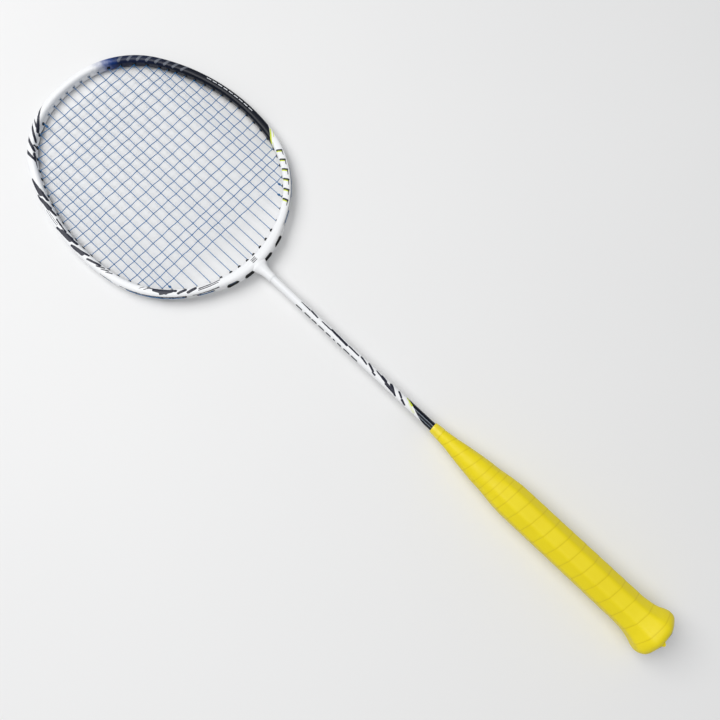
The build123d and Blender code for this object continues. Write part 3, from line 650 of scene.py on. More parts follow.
def outer_depth(turn):
    """Depth of the outer wall: the frame's width, or the swelling where that is more."""
    if abs(turn) < THROAT_ZONE:
        return FRAME_WIDTH
    normal = outward(turn)
    offset = hoop_point(turn) - np.array([0.0, SWELL_LOW_Y + SWELL_RADIUS, 0.0])
    ahead = offset @ normal
    swell = -ahead + (ahead**2 - offset @ offset + SWELL_RADIUS**2) ** 0.5
    return 0.5 * (FRAME_WIDTH + swell + hypot(FRAME_WIDTH - swell, SWELL_BLEND))


FRAME_RINGS = 760
GROOVE_ENDS_X = (34.0, 40.0)


def frame_mesh():
    along = np.linspace(-HALF_LENGTH, HALF_LENGTH, FRAME_RINGS + 1)
    rows, across = [], []
    for length in along:
        turn = turn_along(length)
        groove = 1.0
        if abs(turn) > THROAT_ZONE:
            groove = smooth_steps(abs(hoop_point(turn)[0]), *GROOVE_ENDS_X)
        half = section(outer_depth(turn), groove)
        run = np.concatenate([[0], np.cumsum(norm(np.diff(half, axis=0), axis=1))])
        run -= SECTION_TOP - FRAME_CORNER + pi / 2 * FRAME_CORNER - FRAME_CORNER
        whole = np.vstack([half, half[-2:0:-1] * [1, -1]])
        normal = outward(turn)
        rows.append(hoop_point(turn) + whole[:, :1] * normal
                    + np.c_[np.zeros((len(whole), 2)), whole[:, 1]])
        across.append(np.concatenate([run, run[-2:0:-1], run[:1]]))
    rows, across = np.array(rows), np.array(across)
    columns = rows.shape[1]
    uv = grid_uv(np.repeat(along[:, None], columns + 1, 1), across)
    faces = grid_faces(FRAME_RINGS, columns, True, True)
    return add_mesh("head_frame_shell", rows[:-1].reshape(-1, 3), faces, uv, 35.0)


COLLAR_INTO_THROAT, COLLAR_RINGS = 6.0, 40
COLLAR_END_X, COLLAR_FLARE_X, COLLAR_REACH_X = 3.85, 4.4, 3.3
COLLAR_END_Z, COLLAR_FLARE_Z, COLLAR_REACH_Z = 3.82, 0.66, 3.6
COLLAR_ROUNDING, COLLAR_ROUNDING_LENGTH = 0.22, 0.9
# a place on the paint map, both along and across, that has no strokes
BARE_PLACE = 400.0


def collar_mesh():
    """Flare that carries the throat into the shaft."""
    rings = []
    top, bottom = SWELL_LOW_Y + COLLAR_INTO_THROAT, HEAD_LOW[1]
    for y in np.linspace(top, bottom, COLLAR_RINGS):
        below = max(0.0, SWELL_LOW_Y + 0.3 - y)
        end = 1.0 - smooth_steps(y - bottom, 0.0, COLLAR_ROUNDING_LENGTH)
        half_x = COLLAR_END_X + COLLAR_FLARE_X * exp(-below / COLLAR_REACH_X)
        half_z = COLLAR_END_Z + COLLAR_FLARE_Z * exp(-below / COLLAR_REACH_Z)
        half_x, half_z = half_x - COLLAR_ROUNDING * end, half_z - COLLAR_ROUNDING * end
        rings.append([np.array([half_x * cos(a), y, half_z * sin(a)])
                      for a in np.linspace(0, 2 * pi, 64, endpoint=False)])
    points, faces = loft_rings(rings)
    uv = np.full((sum(map(len, faces)), 2), BARE_PLACE)
    return add_mesh("collar", points, faces, uv, 35.0)


HOLE_LEAD, HOLE_PAST, THROAT_HOLE_LEAD = 2.0, 3.0, 1.0
SLOT_SINK, SLOT_CUT_END = 0.5, 14.0
SOCKET_LEAD, SOCKET_DEPTH_GAP, SOCKET_GAP = 2.0, 0.2, 0.04


def single_holes():
    holes = [turned([(HOLE_RADIUS, -HOLE_LEAD), (HOLE_RADIUS, FRAME_WIDTH + HOLE_PAST)],
                    hoop_point(side * turn), outward(side * turn), 24)
             for turn in ALL_TURNS for side in BOTH_SIDES]
    return add_mesh("holes", *join_parts(holes))


def throat_line(index, side):
    """Tip and end of a slanted barrel in the throat."""
    wall = hoop_point(side * THROAT_TURNS[index])
    end = hoop_point(side * THROAT_EXITS[index], SLOT_DEPTH)
    along = (end - wall) / norm(end - wall)
    return wall - along * THROAT_TIP, end


def stadium(pair, side, depth, half_height, ends=PAD_MARGIN):
    """Ring of points round an oblong slot, at a depth."""
    a, b = THROAT_EXITS[2 * pair], THROAT_EXITS[2 * pair + 1]
    normal, across = outward(side * (a + b) / 2), outward(side * (a + b) / 2 + 90.0)
    first = hoop_point(side * a, SLOT_DEPTH)
    second = hoop_point(side * b, SLOT_DEPTH)
    middle = hoop_point(side * (a + b) / 2, depth)
    reach = abs((second - first) @ across) / 2 + ends - half_height
    ring = []
    for k in range(40):
        angle = 2 * pi * k / 40
        push = reach if cos(angle) > 0 else -reach
        if abs(cos(angle)) < 1e-9:
            push = 0.0
        ring.append(middle + across * (push + half_height * cos(angle))
                    + np.array([0, 0, half_height * sin(angle)]))
    return ring


def throat_slots():
    slots = []
    for side in BOTH_SIDES:
        for pair in (0, 1):
            slots.append(loft_rings([stadium(pair, side, depth, SLOT_HALF_HEIGHT)
                                     for depth in (SLOT_DEPTH - SLOT_SINK, SLOT_CUT_END)]))
    return add_mesh("slots", *join_parts(slots))


def throat_holes(index):
    holes = []
    for side in BOTH_SIDES:
        tip, end = throat_line(index, side)
        profile = [(HOLE_RADIUS, -THROAT_HOLE_LEAD), (HOLE_RADIUS, SLOT_DEPTH + THROAT_TIP)]
        holes.append(turned(profile, tip, end - tip, 24))
    return add_mesh("throat_holes", *join_parts(holes))


def shaft_socket():
    start = np.array([0.0, HEAD_LOW[1] - SOCKET_LEAD, 0.0])
    radius, length = SHAFT_RADIUS + SOCKET_GAP, SHAFT_HIGH[1] + SOCKET_DEPTH_GAP - start[1]
    return add_mesh("socket", *turned([(radius, 0.0), (radius, length)], start, (0, 1, 0), 64))


paint_on_frame = frame_paint()
head = frame_mesh()
boolean(head, collar_mesh(), "UNION")
boolean(head, throat_slots(), "DIFFERENCE")
boolean(head, single_holes(), "DIFFERENCE")
for index in range(THROAT_MAINS):
    boolean(head, throat_holes(index), "DIFFERENCE")
boolean(head, shaft_socket(), "DIFFERENCE")
finish_piece(head, paint_on_frame, "frame_paint", "head_frame")

# ---------------------------------------------------------------- shaft
paint_on_shaft = shaft_paint()


SHAFT_WALL, SHAFT_ROUNDING = 1.0, 0.25
SHAFT_RINGS, SHAFT_SIDES = 110, 64


def shaft_mesh():
    """Tube with rounded ends; its paint repeats half a turn round, so both faces show it."""
    low, high, bore = SHAFT_LOW[1], SHAFT_HIGH[1], SHAFT_RADIUS - SHAFT_WALL
    middle = np.linspace(low + 0.5, high - 0.5, SHAFT_RINGS)
    lengths = np.concatenate([[low, low + 0.15], middle, [high - 0.15, high]])
    radii = np.full(len(lengths), SHAFT_RADIUS)
    radii[[0, -1]] -= SHAFT_ROUNDING
    lengths = np.concatenate([lengths, [high, low]])
    radii = np.concatenate([radii, [bore, bore]])
    angles = np.linspace(-pi, pi, SHAFT_SIDES + 1)
    points, faces = loop_rings([[(r * sin(a), y, r * cos(a)) for a in angles[:-1]]
                                for y, r in zip(lengths, radii)])
    middles = (angles[:-1] + angles[1:]) / 2
    shift = np.where(middles > pi / 2, -pi, np.where(middles < -pi / 2, pi, 0.0))
    rows, long_again = len(lengths), np.append(lengths, lengths[0])
    uv = np.zeros((rows, SHAFT_SIDES, 4, 2))
    for corner, (i, j) in enumerate(((0, 0), (1, 0), (1, 1), (0, 1))):
        uv[:, :, corner, 0] = long_again[i:i + rows, None]
        uv[:, :, corner, 1] = (angles[j:j + SHAFT_SIDES] + shift) * SHAFT_RADIUS
    return add_mesh("shaft_tube", points, faces, uv.reshape(-1, 2), 50.0)


finish_piece(shaft_mesh(), paint_on_shaft, "shaft_paint", "shaft")

# ---------------------------------------------------------------- grommets
def moulded_nylon(name, darker, lighter):
    return stock(name, darker, lighter, (0.36, 0.48), (2500.0, 4.0), None, 0.00002,
                 Specular_IOR_Level=0.35)


grommet_nylon = moulded_nylon("grommet_nylon", rgb(0.004, 0.004, 0.005),
                              rgb(0.010, 0.010, 0.012))
clear_nylon = moulded_nylon("clear_nylon", rgb(0.50, 0.54, 0.60), rgb(0.58, 0.62, 0.68))
TIP_ZONE_END, SHOULDER_ZONE_END, SIDE_ZONE_END = 27.0, 75.0, 118.0
FLANGE_RADIUS, FLANGE_THICKNESS = 2.0, 0.45
BARREL_START = [(1.02, 0.06), (1.12, 0.0), (1.26, 0.03), (1.38, 0.16), (1.43, 0.36),
                (BARREL_RADIUS, 0.7)]
GROOVE_FLOOR = FRAME_WIDTH - GROOVE_DEPTH + 0.03


def grommet(turn):
    base = GROOVE_FLOOR + BARREL_TIP
    top = base + FLANGE_THICKNESS
    profile = BARREL_START + [
        (BARREL_RADIUS, base), (FLANGE_RADIUS - 0.1, base), (FLANGE_RADIUS, base + 0.08),
        (FLANGE_RADIUS, base + 0.30), (FLANGE_RADIUS - 0.12, top - 0.02), (1.3, top),
        (1.08, top - 0.05), (BORE_RADIUS, base + 0.22), (BORE_RADIUS, 0.2)]
    return turned(profile, hoop_point(turn, -BARREL_TIP), outward(turn), 24, closed=True)


def grommet_zone(node, turns, nylon):
    piece = add_mesh(f"{node}_moulded", *join_parts([grommet(t) for t in turns]), sharp=50.0)
    finish_piece(piece, nylon, "grommet_plastic", node)


grommet_zone("tip_grommets", [s * t for t in ALL_TURNS if t < TIP_ZONE_END for s in BOTH_SIDES],
             clear_nylon)
for side_name, side in (("right", 1), ("left", -1)):
    for zone, low, high in (("shoulder", TIP_ZONE_END, SHOULDER_ZONE_END),
                            ("side", SHOULDER_ZONE_END, SIDE_ZONE_END),
                            ("lower", SIDE_ZONE_END, 180.0)):
        zone_turns = [side * t for t in ALL_TURNS if low < t < high]
        grommet_zone(f"{side_name}_{zone}_grommets", zone_turns, grommet_nylon)


def twin_grommet(pair, side):
    """Two slanted barrels on an oblong cup that lines its slot."""
    rim = outer_depth(side * sum(THROAT_EXITS[2 * pair:2 * pair + 2]) / 2) - 0.25
    floor = SLOT_DEPTH
    h = SLOT_HALF_HEIGHT - 0.05
    levels = [(floor - 0.4, h - 0.15), (floor - 0.3, h), (rim - 0.1, h), (rim, h - 0.08),
              (rim, h - 0.32), (rim - 0.1, h - 0.4), (floor + 0.15, h - 0.42),
              (floor, h - 0.6)]
    rings = [stadium(pair, side, depth, half, PAD_MARGIN - (SLOT_HALF_HEIGHT - half))
             for depth, half in levels]
    parts = [loft_rings(rings)]
    for index in (2 * pair, 2 * pair + 1):
        tip, end = throat_line(index, side)
        length = float(norm(end - tip)) - 0.2
        profile = BARREL_START + [(BARREL_RADIUS, length), (BORE_RADIUS, length),
                                  (BORE_RADIUS, 0.2)]
        parts.append(turned(profile, tip, end - tip, 24, closed=True))
    return parts


for pair, node in enumerate(("inner_throat_grommets", "outer_throat_grommets")):
    twins = join_parts(twin_grommet(pair, 1) + twin_grommet(pair, -1))
    finish_piece(add_mesh(f"{node}_moulded", *twins, sharp=50.0), grommet_nylon,
                 "grommet_plastic", node)

# ---------------------------------------------------------------- strings
MOUTH_GAP = 0.5
MOUTH_DEPTH = -(BARREL_TIP + MOUTH_GAP)
GROOVE_RUN_DEPTH = GROOVE_FLOOR + FLANGE_THICKNESS + 0.43
SLOT_RUN_DEPTH = SLOT_DEPTH + 0.46
END_CLEARANCE, SIDE_CLEARANCE, ROUTE_CORNER = 1.5, 0.9, 0.8
KNOT_INSET, LANE_STEP = 3.0, 3.5
KNOT_WRAPS, WRAP_PITCH, TIE_LIFT = 3.0, 0.66, 1.1
MAIN_TAIL_Z, CROSS_TAIL_Z = -1.2, 1.2
MAIN_TIE, CROSS_START_TIE, CROSS_END_TIE = 7, 4, 6


def rounded(points, radius):
    """A route with its corners rounded, none of them cutting more than half a run."""
    points = [np.array(p, float) for p in points]
    result = [points[0]]
    for before, corner, after in zip(points, points[1:], points[2:]):
        into, out = corner - before, after - corner
        size = min(radius, 0.45 * norm(into), 0.45 * norm(out))
        start = corner - into / norm(into) * size
        end = corner + out / norm(out) * size
        for t in (0.0, 0.33, 0.67, 1.0):
            result.append((1 - t) ** 2 * start + 2 * t * (1 - t) * corner + t**2 * end)
    result.append(points[-1])
    return result


def tube(path, radius, sides=10):
    """Round tube along a path, without twist."""
    path = np.array(path)
    along = np.gradient(path, axis=0)
    along /= norm(along, axis=1)[:, None]
    side = axes_from(along[0])[0]
    angles = np.linspace(0, 2 * pi, sides, endpoint=False)
    rings = []
    for point, direction in zip(path, along):
        side = side - direction * (side @ direction)
        side /= norm(side)
        other = np.cross(direction, side)
        rings.append(point + radius * (np.cos(angles)[:, None] * side
                                       + np.sin(angles)[:, None] * other))
    return loft_rings(rings)


def main_top(index, side):
    turn = side * MAINS_TOP[index]
    return hoop_point(turn, MOUTH_DEPTH, MAIN_Z), hoop_point(turn, GROOVE_RUN_DEPTH, MAIN_Z)


def main_bottom(index, side):
    mouth = hoop_point(side * MAINS_BOTTOM[index], MOUTH_DEPTH, MAIN_Z)
    if index < THROAT_MAINS:
        tip, end = throat_line(index, side)
        ahead = (tip - end) / norm(tip - end)
        mouth = tip + MOUTH_GAP * ahead + np.array([0.0, 0.0, MAIN_Z])
        return mouth, hoop_point(side * THROAT_EXITS[index], SLOT_RUN_DEPTH, MAIN_Z)
    return mouth, hoop_point(side * MAINS_BOTTOM[index], GROOVE_RUN_DEPTH, MAIN_Z)


def x_of_main(index, side, y):
    """Where a main crosses a line across the head, and whether it does so at all."""
    top, bottom = main_top(index, side)[0], main_bottom(index, side)[0]
    share = (y - bottom[1]) / (top[1] - bottom[1])
    return bottom[0] + share * (top[0] - bottom[0]), 0.0 < share < 1.0


def goes_over(main_index, side, cross_index):
    return (main_index + cross_index + (side < 0)) % 2 == 0


WAVE = [(1 - cos(pi * t)) / 2 for t in (0.0, 0.2, 0.4, 0.6, 0.8)]


def woven(points):
    """Points joined by half waves in height and straight lines in plan."""
    result = []
    for a, b in zip(points, points[1:]):
        for k, rise in enumerate(WAVE):
            share = k / len(WAVE)
            height = a[2] + (b[2] - a[2]) * rise
            result.append(np.array([*(a[:2] + (b[:2] - a[:2]) * share), height]))
    result.append(points[-1])
    return result


def main_run(index, side, upward):
    top, bottom = main_top(index, side), main_bottom(index, side)
    met = [bottom[0]]
    for j in reversed(range(len(CROSS_Y))):
        y = hoop_point(CROSSES[j])[1]
        x, inside = x_of_main(index, side, y)
        cross_end = hoop_point(CROSSES[j], MOUTH_DEPTH)[0]
        clear = bottom[0][1] + END_CLEARANCE < y < top[0][1] - END_CLEARANCE
        if inside and clear and abs(x) < cross_end - SIDE_CLEARANCE:
            lift = -WEAVE if goes_over(index, side, j) else WEAVE
            met.append(np.array([x, y, MAIN_Z + lift]))
    met.append(top[0])
    points = [bottom[1]] + woven(met) + [top[1]]
    return points if upward else points[::-1]


def cross_run(j, rightward):
    ends = [hoop_point(-CROSSES[j], MOUTH_DEPTH, CROSS_Z),
            hoop_point(CROSSES[j], MOUTH_DEPTH, CROSS_Z)]
    y = hoop_point(CROSSES[j])[1]
    met = []
    for side in BOTH_SIDES:
        for i in range(len(MAIN_X)):
            x, inside = x_of_main(i, side, y)
            if inside and ends[0][0] + SIDE_CLEARANCE < x < ends[1][0] - SIDE_CLEARANCE:
                lift = WEAVE if goes_over(i, side, j) else -WEAVE
                met.append(np.array([x, ends[0][1], MAIN_Z + lift]))
    met.sort(key=lambda point: point[0])
    points = ([hoop_point(-CROSSES[j], GROOVE_RUN_DEPTH, CROSS_Z)]
              + woven([ends[0]] + met + [ends[1]])
              + [hoop_point(CROSSES[j], GROOVE_RUN_DEPTH, CROSS_Z)])
    return points if rightward else points[::-1]


def groove_lane(turns, side, height):
    first, last = turns
    count = int(abs(last - first) / LANE_STEP)
    return [hoop_point(side * (first + (last - first) * (k + 0.5) / count), GROOVE_RUN_DEPTH,
                       height) for k in range(count)]


def anchor(index, side, at_top):
    top, bottom = main_top(index, side)[0], main_bottom(index, side)[0]
    down = (bottom - top) / norm(bottom - top)
    return (top + down * KNOT_INSET if at_top else bottom - down * KNOT_INSET), down


def tie_off(index, side, at_top):
    ends = main_top(index, side) if at_top else main_bottom(index, side)
    lift = np.array([0.0, 0.0, CROSS_Z - MAIN_Z])
    return [ends[1] + lift, ends[0] + lift,
            anchor(index, side, at_top)[0] + np.array([0.0, 0.0, TIE_LIFT])]


def knot_coil(index, side, at_top):
    """Three tight wraps of string round a main."""
    centre, down = anchor(index, side, at_top)
    first, second, along = axes_from(down)
    reach = 2 * STRING_RADIUS + 0.04
    path = []
    for t in np.linspace(0, 1, 60):
        angle = 2 * pi * KNOT_WRAPS * t
        path.append(centre + along * (t - 0.5) * KNOT_WRAPS * WRAP_PITCH
                    + reach * (cos(angle) * first + sin(angle) * second))
    return tube(path, STRING_RADIUS * 0.93)


def string_piece(name, route, *nodes):
    points, faces = tube(rounded(route, ROUTE_CORNER), STRING_RADIUS)
    piece = add_mesh(name, points, faces, sharp=60.0)
    finish_piece(piece, string_material, "string_nylon", *nodes)


string_material = stock("string_blue", rgb(0.006, 0.108, 0.30), rgb(0.011, 0.162, 0.41),
                        (0.28, 0.42), (2600.0, 3.0), (60.0, 2.0), 0.00003,
                        Coat_Weight=0.35, Coat_Roughness=0.12)
LAST = len(MAIN_X) - 1
tail_turns = (MAINS_BOTTOM[LAST], MAINS_BOTTOM[MAIN_TIE])
main_route = (groove_lane(tail_turns, -1, MAIN_TAIL_Z) + tie_off(MAIN_TIE, -1, False))[::-1]
for i in range(LAST, -1, -1):
    main_route += main_run(i, -1, (LAST - i) % 2 == 0)
for i in range(LAST + 1):
    main_route += main_run(i, 1, i % 2 == 1)
main_route += groove_lane(tail_turns, 1, MAIN_TAIL_Z) + tie_off(MAIN_TIE, 1, False)
string_piece("main_string_woven", main_route, "main_string")

cross_route = tie_off(CROSS_START_TIE, -1, True)[::-1]
for j in range(len(CROSS_Y)):
    cross_route += cross_run(j, j % 2 == 0)
cross_route += groove_lane((CROSSES[-1], MAINS_BOTTOM[CROSS_END_TIE]), 1, CROSS_TAIL_Z)
cross_route += tie_off(CROSS_END_TIE, 1, False)
string_piece("cross_string_woven", cross_route, "cross_string")

for node, anchors in (("main_string_knots", [(MAIN_TIE, -1, False), (MAIN_TIE, 1, False)]),
                      ("cross_string_knots", [(CROSS_START_TIE, -1, True),
                                              (CROSS_END_TIE, 1, False)])):
    coils = join_parts([knot_coil(*place) for place in anchors])
    finish_piece(add_mesh(f"{node}_wound", *coils, sharp=60.0), string_material,
                 "string_nylon", node)

# ---------------------------------------------------------------- overgrip
STRIP_WIDTH, FULL_PITCH, CONE_CLOSER, SHINGLE = 25.0, 12.5, 6.2, 0.62
WIND_STEP, WIND_START = radians(5.0), radians(-70.0)
SEAM_WOBBLE, RIPPLE, WRINKLE, EDGE_ROUNDING = 0.5, 0.06, 0.05, 0.9
OCTAGON_CORNER = 5.0
# outline of the wrapped grip, (distance from the butt, half size across the flats)
GRIP_OUTLINE = [(0.5, 15.5), (1, 16.3), (2.3, 17.8), (4, 18.9), (6.4, 19.3), (9.8, 18.4),
                (13.8, 16.45), (18.2, 15.1), (24, 14.2), (30, 13.85), (45, 13.8),
                (90, 13.8), (138, 13.8), (148, 13.35), (157, 12.5), (165, 11.5),
                (175, 10.7), (185, 9.4), (195, 7.9), (205, 6.3), (215, 5.1),
                (GRIP_TOP, 4.1)]


GRIP_CURVE = spline(GRIP_OUTLINE, 0.5)
GRIP_RUN = np.append(0.0, np.cumsum(norm(np.diff(GRIP_CURVE, axis=0), axis=1)))
GRIP_LENGTH = GRIP_RUN[-1]


def grip_place(run):
    """Distance from the butt and half size of the grip, at a length along its outline."""
    return [float(np.interp(run, GRIP_RUN, column)) for column in GRIP_CURVE.T]


def octagon_reach(angle, half, corner=OCTAGON_CORNER):
    """Distance from the axis to a rounded octagon, at an angle from one of its flats."""
    half_step = pi / 8
    off_flat = abs((angle + half_step) % (2 * half_step) - half_step)
    if half * tan(off_flat) <= (half - corner) * tan(half_step):
        return half / cos(off_flat)
    centre = (half - corner) / cos(half_step)
    off_centre = half_step - off_flat
    return centre * cos(off_centre) + (corner**2 - (centre * sin(off_centre)) ** 2) ** 0.5


def pitch_at(run):
    """The wrap's advance in one turn: closer together where the cone begins to narrow."""
    y = grip_place(run)[0]
    closer = smooth_steps(y, 150.0, 164.0) * smooth_steps(y, 192.0, 180.0)
    return FULL_PITCH - CONE_CLOSER * closer


TAIL_TURN, TAIL_HALF_THICKNESS = radians(345.0), 0.2
# distance from the butt, distance from the axis and half width along the tail
TAIL_RINGS = [(2.0, 16.6, 2.2), (0.6, 15.9, 2.0), (-0.5, 15.4, 1.3), (-1.3, 15.2, 0.5)]


def strip_tail():
    """The strip's cut corner, left standing out a little at the butt's rim."""
    out = np.array([sin(TAIL_TURN), 0.0, cos(TAIL_TURN)])
    across = np.array([cos(TAIL_TURN), 0.0, -sin(TAIL_TURN)])
    thick = TAIL_HALF_THICKNESS
    rings = []
    for y, reach, half in TAIL_RINGS:
        ring = [(-half, -thick), (half, -thick), (half + 0.1, 0.0), (half, thick),
                (-half, thick), (-half - 0.1, 0.0)]
        rings.append([across * a + out * (reach + b) + np.array([0.0, y, 0.0]) for a, b in ring])
    return loft_rings(rings)


# shares of the strip's width, close together at the edge that shows
ACROSS_STRIP = [0.0, 0.02, 0.05, *np.linspace(0.1, 1.0, 14)]


def strip_points(middle, angle):
    """Outer and inner points across the strip, and their distances from its middle."""
    low = max(0.0, middle - STRIP_WIDTH / 2)
    high = min(GRIP_LENGTH, middle + STRIP_WIDTH / 2)
    lapped = min(pitch_at(middle), middle - low + 1.0)
    thickness = max(SHINGLE * lapped / STRIP_WIDTH - 0.02, 0.04)
    wobble = SEAM_WOBBLE * noise.noise(Vector((middle * 0.13, angle * 0.9, 3.0)))
    outer, inner, across = [], [], []
    for share in ACROSS_STRIP:
        run = low + (high - low) * share
        run = min(max(run + wobble, 0.0), GRIP_LENGTH)
        y, size = grip_place(run)
        k = min(max(int(np.searchsorted(GRIP_RUN, run)), 1), len(GRIP_RUN) - 1)
        tangent = GRIP_CURVE[k] - GRIP_CURVE[k - 1]
        tangent /= norm(tangent)
        base = -SHINGLE * ((run - middle) / STRIP_WIDTH + 0.5) * 0.5 - thickness
        round_edge = min(1.0, (run - low) / EDGE_ROUNDING) ** 0.5 if share > 0 else 0.0
        swell = noise.noise(Vector((run * 0.09, cos(angle) * 1.6, sin(angle) * 1.6)))
        fine = noise.noise(Vector((run * 0.35, cos(angle) * 2.5 + 7.0, sin(angle) * 2.5)))
        slack = 1.0 + 2.0 * smooth_steps(y, 140.0, 170.0)
        ripple = RIPPLE * swell + WRINKLE * slack * fine
        roundness = max(smooth_steps(y, 148.0, 166.0), 0.5 * smooth_steps(y, 16.0, 8.0))
        for target, lift in ((inner, base), (outer, base + thickness * round_edge)):
            half = size + (lift + max(ripple, lift)) * tangent[0]
            reach = octagon_reach(angle, half)
            reach += (half - reach) * roundness
            along = y - (lift + ripple) * tangent[1]
            target.append((reach * sin(angle), along, reach * cos(angle)))
        across.append(run - middle)
    return outer + inner[::-1], across + across[::-1] + across[:1]


def overgrip_mesh():
    """One strip wound up the handle, each turn lapping half of the turn before."""
    middle, angle = 0.0, WIND_START
    rows, across = [], []
    while middle < GRIP_LENGTH:
        ring, places = strip_points(middle, angle)
        rows.append(ring)
        across.append(places)
        angle -= WIND_STEP
        middle += pitch_at(middle) * WIND_STEP / (2 * pi)
    strip = loft_rings(rows)
    tail = strip_tail()
    across = np.array(across)
    uv = grid_uv(np.zeros_like(across), across)
    bare = sum(map(len, strip[1] + tail[1])) - len(uv)
    points, faces = join_parts([strip, tail])
    return add_mesh("overgrip_wrap", points, faces, np.vstack([uv, np.zeros((bare, 2))]), 50.0)


def grip_film():
    shader = Shader("grip_film")
    marks = shader.node("ShaderNodeUVMap", {"uv_map": "paint"}).outputs[0]
    parts = shader.node("ShaderNodeSeparateXYZ", (), {0: marks})
    fine = shader.noise(2200.0, detail=4.0)
    grain = shader.noise(420.0, detail=4.0, rough=0.65)
    cloud = shader.noise(45.0, detail=4.0)
    # darker along each turn's showing edge: painted shade in the seam where one turn laps the next
    seam_shade = shader.spread(parts.outputs[1], -12.5, -10.9, 1.0, 0.0)
    color = shader.mix(cloud, rgb(0.80, 0.635, 0.004), rgb(0.86, 0.72, 0.010))
    color = shader.mix(shader.math("MULTIPLY", seam_shade, 0.38), color, rgb(0.55, 0.38, 0.004))
    shader.set(
        Base_Color=color,
        Roughness=shader.spread(grain, 0.3, 0.7, 0.42, 0.58),
        Specular_IOR_Level=0.3,
        Coat_Weight=0.05,
        Coat_Roughness=0.35,
    )
    height = shader.math("MULTIPLY_ADD", grain, 0.7, shader.math("MULTIPLY", fine, 0.3))
    shader.bump(height, 0.00012, 0.7)
    return shader.material


grip_material = grip_film()
finish_piece(overgrip_mesh(), grip_material, "overgrip_film", "overgrip")


TAPE_SKEW = 0.25


def finishing_ring():
    """Stretched tape round the grip's top, its two laps slightly out of line."""
    low, high = TAPE_LOW[1], TAPE_HIGH[1]
    profile = [(low, 0.02), (low + 0.1, 0.2), (low + 0.5, 0.26), (high - 3.4, 0.26),
               (high - 3.1, 0.36), (high - 0.5, 0.38), (high, 0.28), (high + 0.05, 0.05),
               (high - 0.2, -0.2), (low + 0.2, -0.2)]
    rings = []
    for y, lift in profile:
        radius = float(np.interp(y, GRIP_CURVE[:, 0], GRIP_CURVE[:, 1])) + lift + 0.05
        rings.append([(radius * sin(a), y + TAPE_SKEW * sin(a + 0.6), radius * cos(a))
                      for a in circle(64)])
    return add_mesh("finishing_tape_wound", *loop_rings(rings), sharp=50.0)


tape_material = plain("tape_yellow", rgb(0.86, 0.70, 0.02), 0.34, 900.0, 0.00003,
                      Coat_Weight=0.3)
finish_piece(finishing_ring(), tape_material, "tape_film", "finishing_tape")

# ---------------------------------------------------------------- carried-over CAD nodes
cap_black = plain("cap_black", rgb(0.02, 0.02, 0.022), 0.45, 1800.0)
cap_silver = plain("badge_silver", rgb(0.62, 0.64, 0.66), 0.28, 1200.0, 0.00002,
                   Coat_Weight=0.4)
foam_black = plain("base_grip_foam", rgb(0.03, 0.03, 0.035), 0.75, 900.0, 0.00015)
cast_metal = plain("cast_aluminium", rgb(0.66, 0.67, 0.68), 0.45, 700.0, 0.00008, Metallic=1.0)
staple_wire = plain("staple_wire", rgb(0.6, 0.6, 0.6), 0.3, 3000.0, 0.00002, Metallic=1.0)
band_film = plain("band_film", rgb(0.6, 0.6, 0.62), 0.35, 900.0, 0.00003)


def wood_grain():
    shader = Shader("handle_wood")
    stretched = shader.node("ShaderNodeVectorMath", {"operation": "MULTIPLY"},
                            {0: shader.object_place(), 1: (1.0, 0.06, 1.0)}).outputs[0]
    grain = shader.noise(420.0, stretched, detail=6.0, rough=0.65)
    shader.set(
        Base_Color=shader.mix(grain, rgb(0.46, 0.29, 0.14), rgb(0.74, 0.56, 0.36)),
        Roughness=shader.spread(grain, 0.2, 0.8, 0.5, 0.7),
    )
    shader.bump(grain, 0.0001)
    return shader.material


for node, material in (("t_joint", cast_metal), ("grip_staple", staple_wire),
                       ("handle_core", wood_grain()), ("cone_cap", cap_black),
                       ("butt_cap", cap_black), ("butt_badge", cap_silver),
                       ("base_grip", foam_black), ("base_grip_band", band_film)):
    carried = bpy.data.objects[node]
    carried.data.materials.clear()
    carried.data.materials.append(material)

# ---------------------------------------------------------------- floor, lights and camera
BUTT_CONTACT = np.array([0.0, 6.0, -19.4])
TIP_CONTACT = np.array([0.0, OVERALL_LENGTH, -SECTION_TOP])
FLOOR_REACH = 6000.0


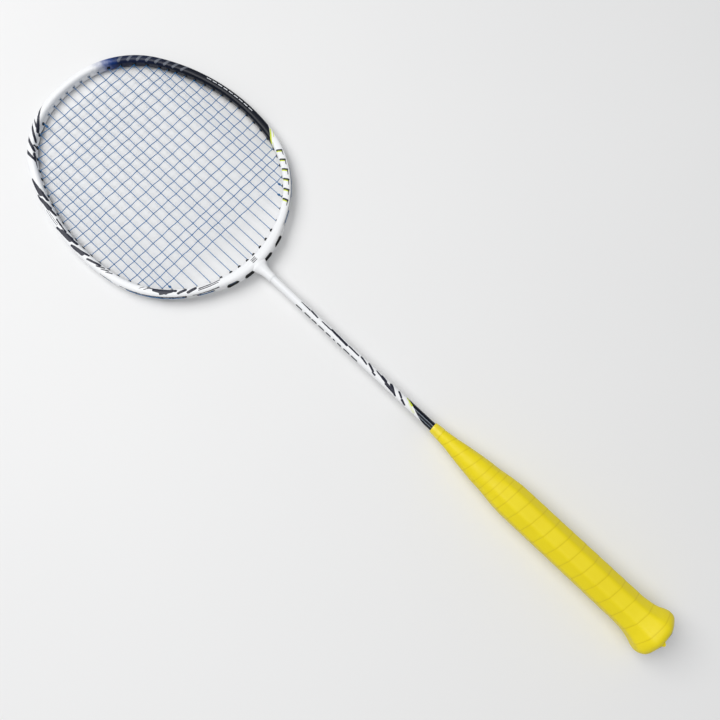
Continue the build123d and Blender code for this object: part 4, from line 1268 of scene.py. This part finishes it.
def floor():
    """Flat pale floor that meets the butt's flare and the underside of the head's tip."""
    slope = (TIP_CONTACT[2] - BUTT_CONTACT[2]) / (TIP_CONTACT[1] - BUTT_CONTACT[1])
    corners = [(x * FLOOR_REACH, y * FLOOR_REACH,
                BUTT_CONTACT[2] + slope * (y * FLOOR_REACH - BUTT_CONTACT[1]))
               for x, y in ((-1, -1), (1, -1), (1, 1), (-1, 1))]
    mesh = bpy.data.meshes.new("floor")
    mesh.from_pydata([tuple(c * MM for c in corner) for corner in corners], [], [(0, 1, 2, 3)])
    shader = Shader("floor_white")
    shader.set(Base_Color=shader.mix(shader.noise(3.0, detail=2.0), rgb(0.80, 0.80, 0.80),
                                     rgb(0.83, 0.83, 0.83)),
               Roughness=0.6)
    mesh.materials.append(shader.material)
    add_object("floor", mesh)


floor()


def area_light(name, place, target, size, power, color=(1.0, 1.0, 1.0)):
    data = bpy.data.lights.new(name, "AREA")
    data.shape, data.size, data.energy, data.color = "DISK", size, power, color
    light = add_object(name, data)
    light.location = place
    aim = Vector(target) - Vector(place)
    light.rotation_euler = aim.to_track_quat("-Z", "Y").to_euler()


MIDDLE = (0.0, 0.35, 0.0)
area_light("key", (-0.35, 1.7, 2.0), (0.0, 0.5, 0.0), 1.9, 34.0)
area_light("overhead", (-0.35, 0.35, 2.3), MIDDLE, 2.6, 23.0)

world = bpy.data.worlds.new("studio")
world.use_nodes = True
background = world.node_tree.nodes["Background"]
background.inputs["Color"].default_value = rgb(0.98, 0.99, 1.0)
background.inputs["Strength"].default_value = 0.30
bpy.context.scene.world = world
bpy.context.scene.view_settings.view_transform = "Standard"

# camera at the angle of the photograph, in the part's frame
CAMERA_PLACE = Vector((-0.08216, 0.2125, 0.52661))
CAMERA_RIGHT = Vector((0.6918, -0.7220, -0.0176))
CAMERA_UP = Vector((0.7061, 0.6711, 0.2259))
camera_data = bpy.data.cameras.new("camera")
camera_data.sensor_width, camera_data.lens = 36.0, 33.295
camera_data.clip_start, camera_data.clip_end = 0.01, 50.0
camera = add_object("camera", camera_data)
back = CAMERA_RIGHT.cross(CAMERA_UP).normalized()
up = back.cross(CAMERA_RIGHT).normalized()
camera.matrix_world = Matrix.Translation(CAMERA_PLACE) @ Matrix(
    (CAMERA_RIGHT.normalized(), up, back)).transposed().to_4x4()
bpy.context.scene.camera = camera
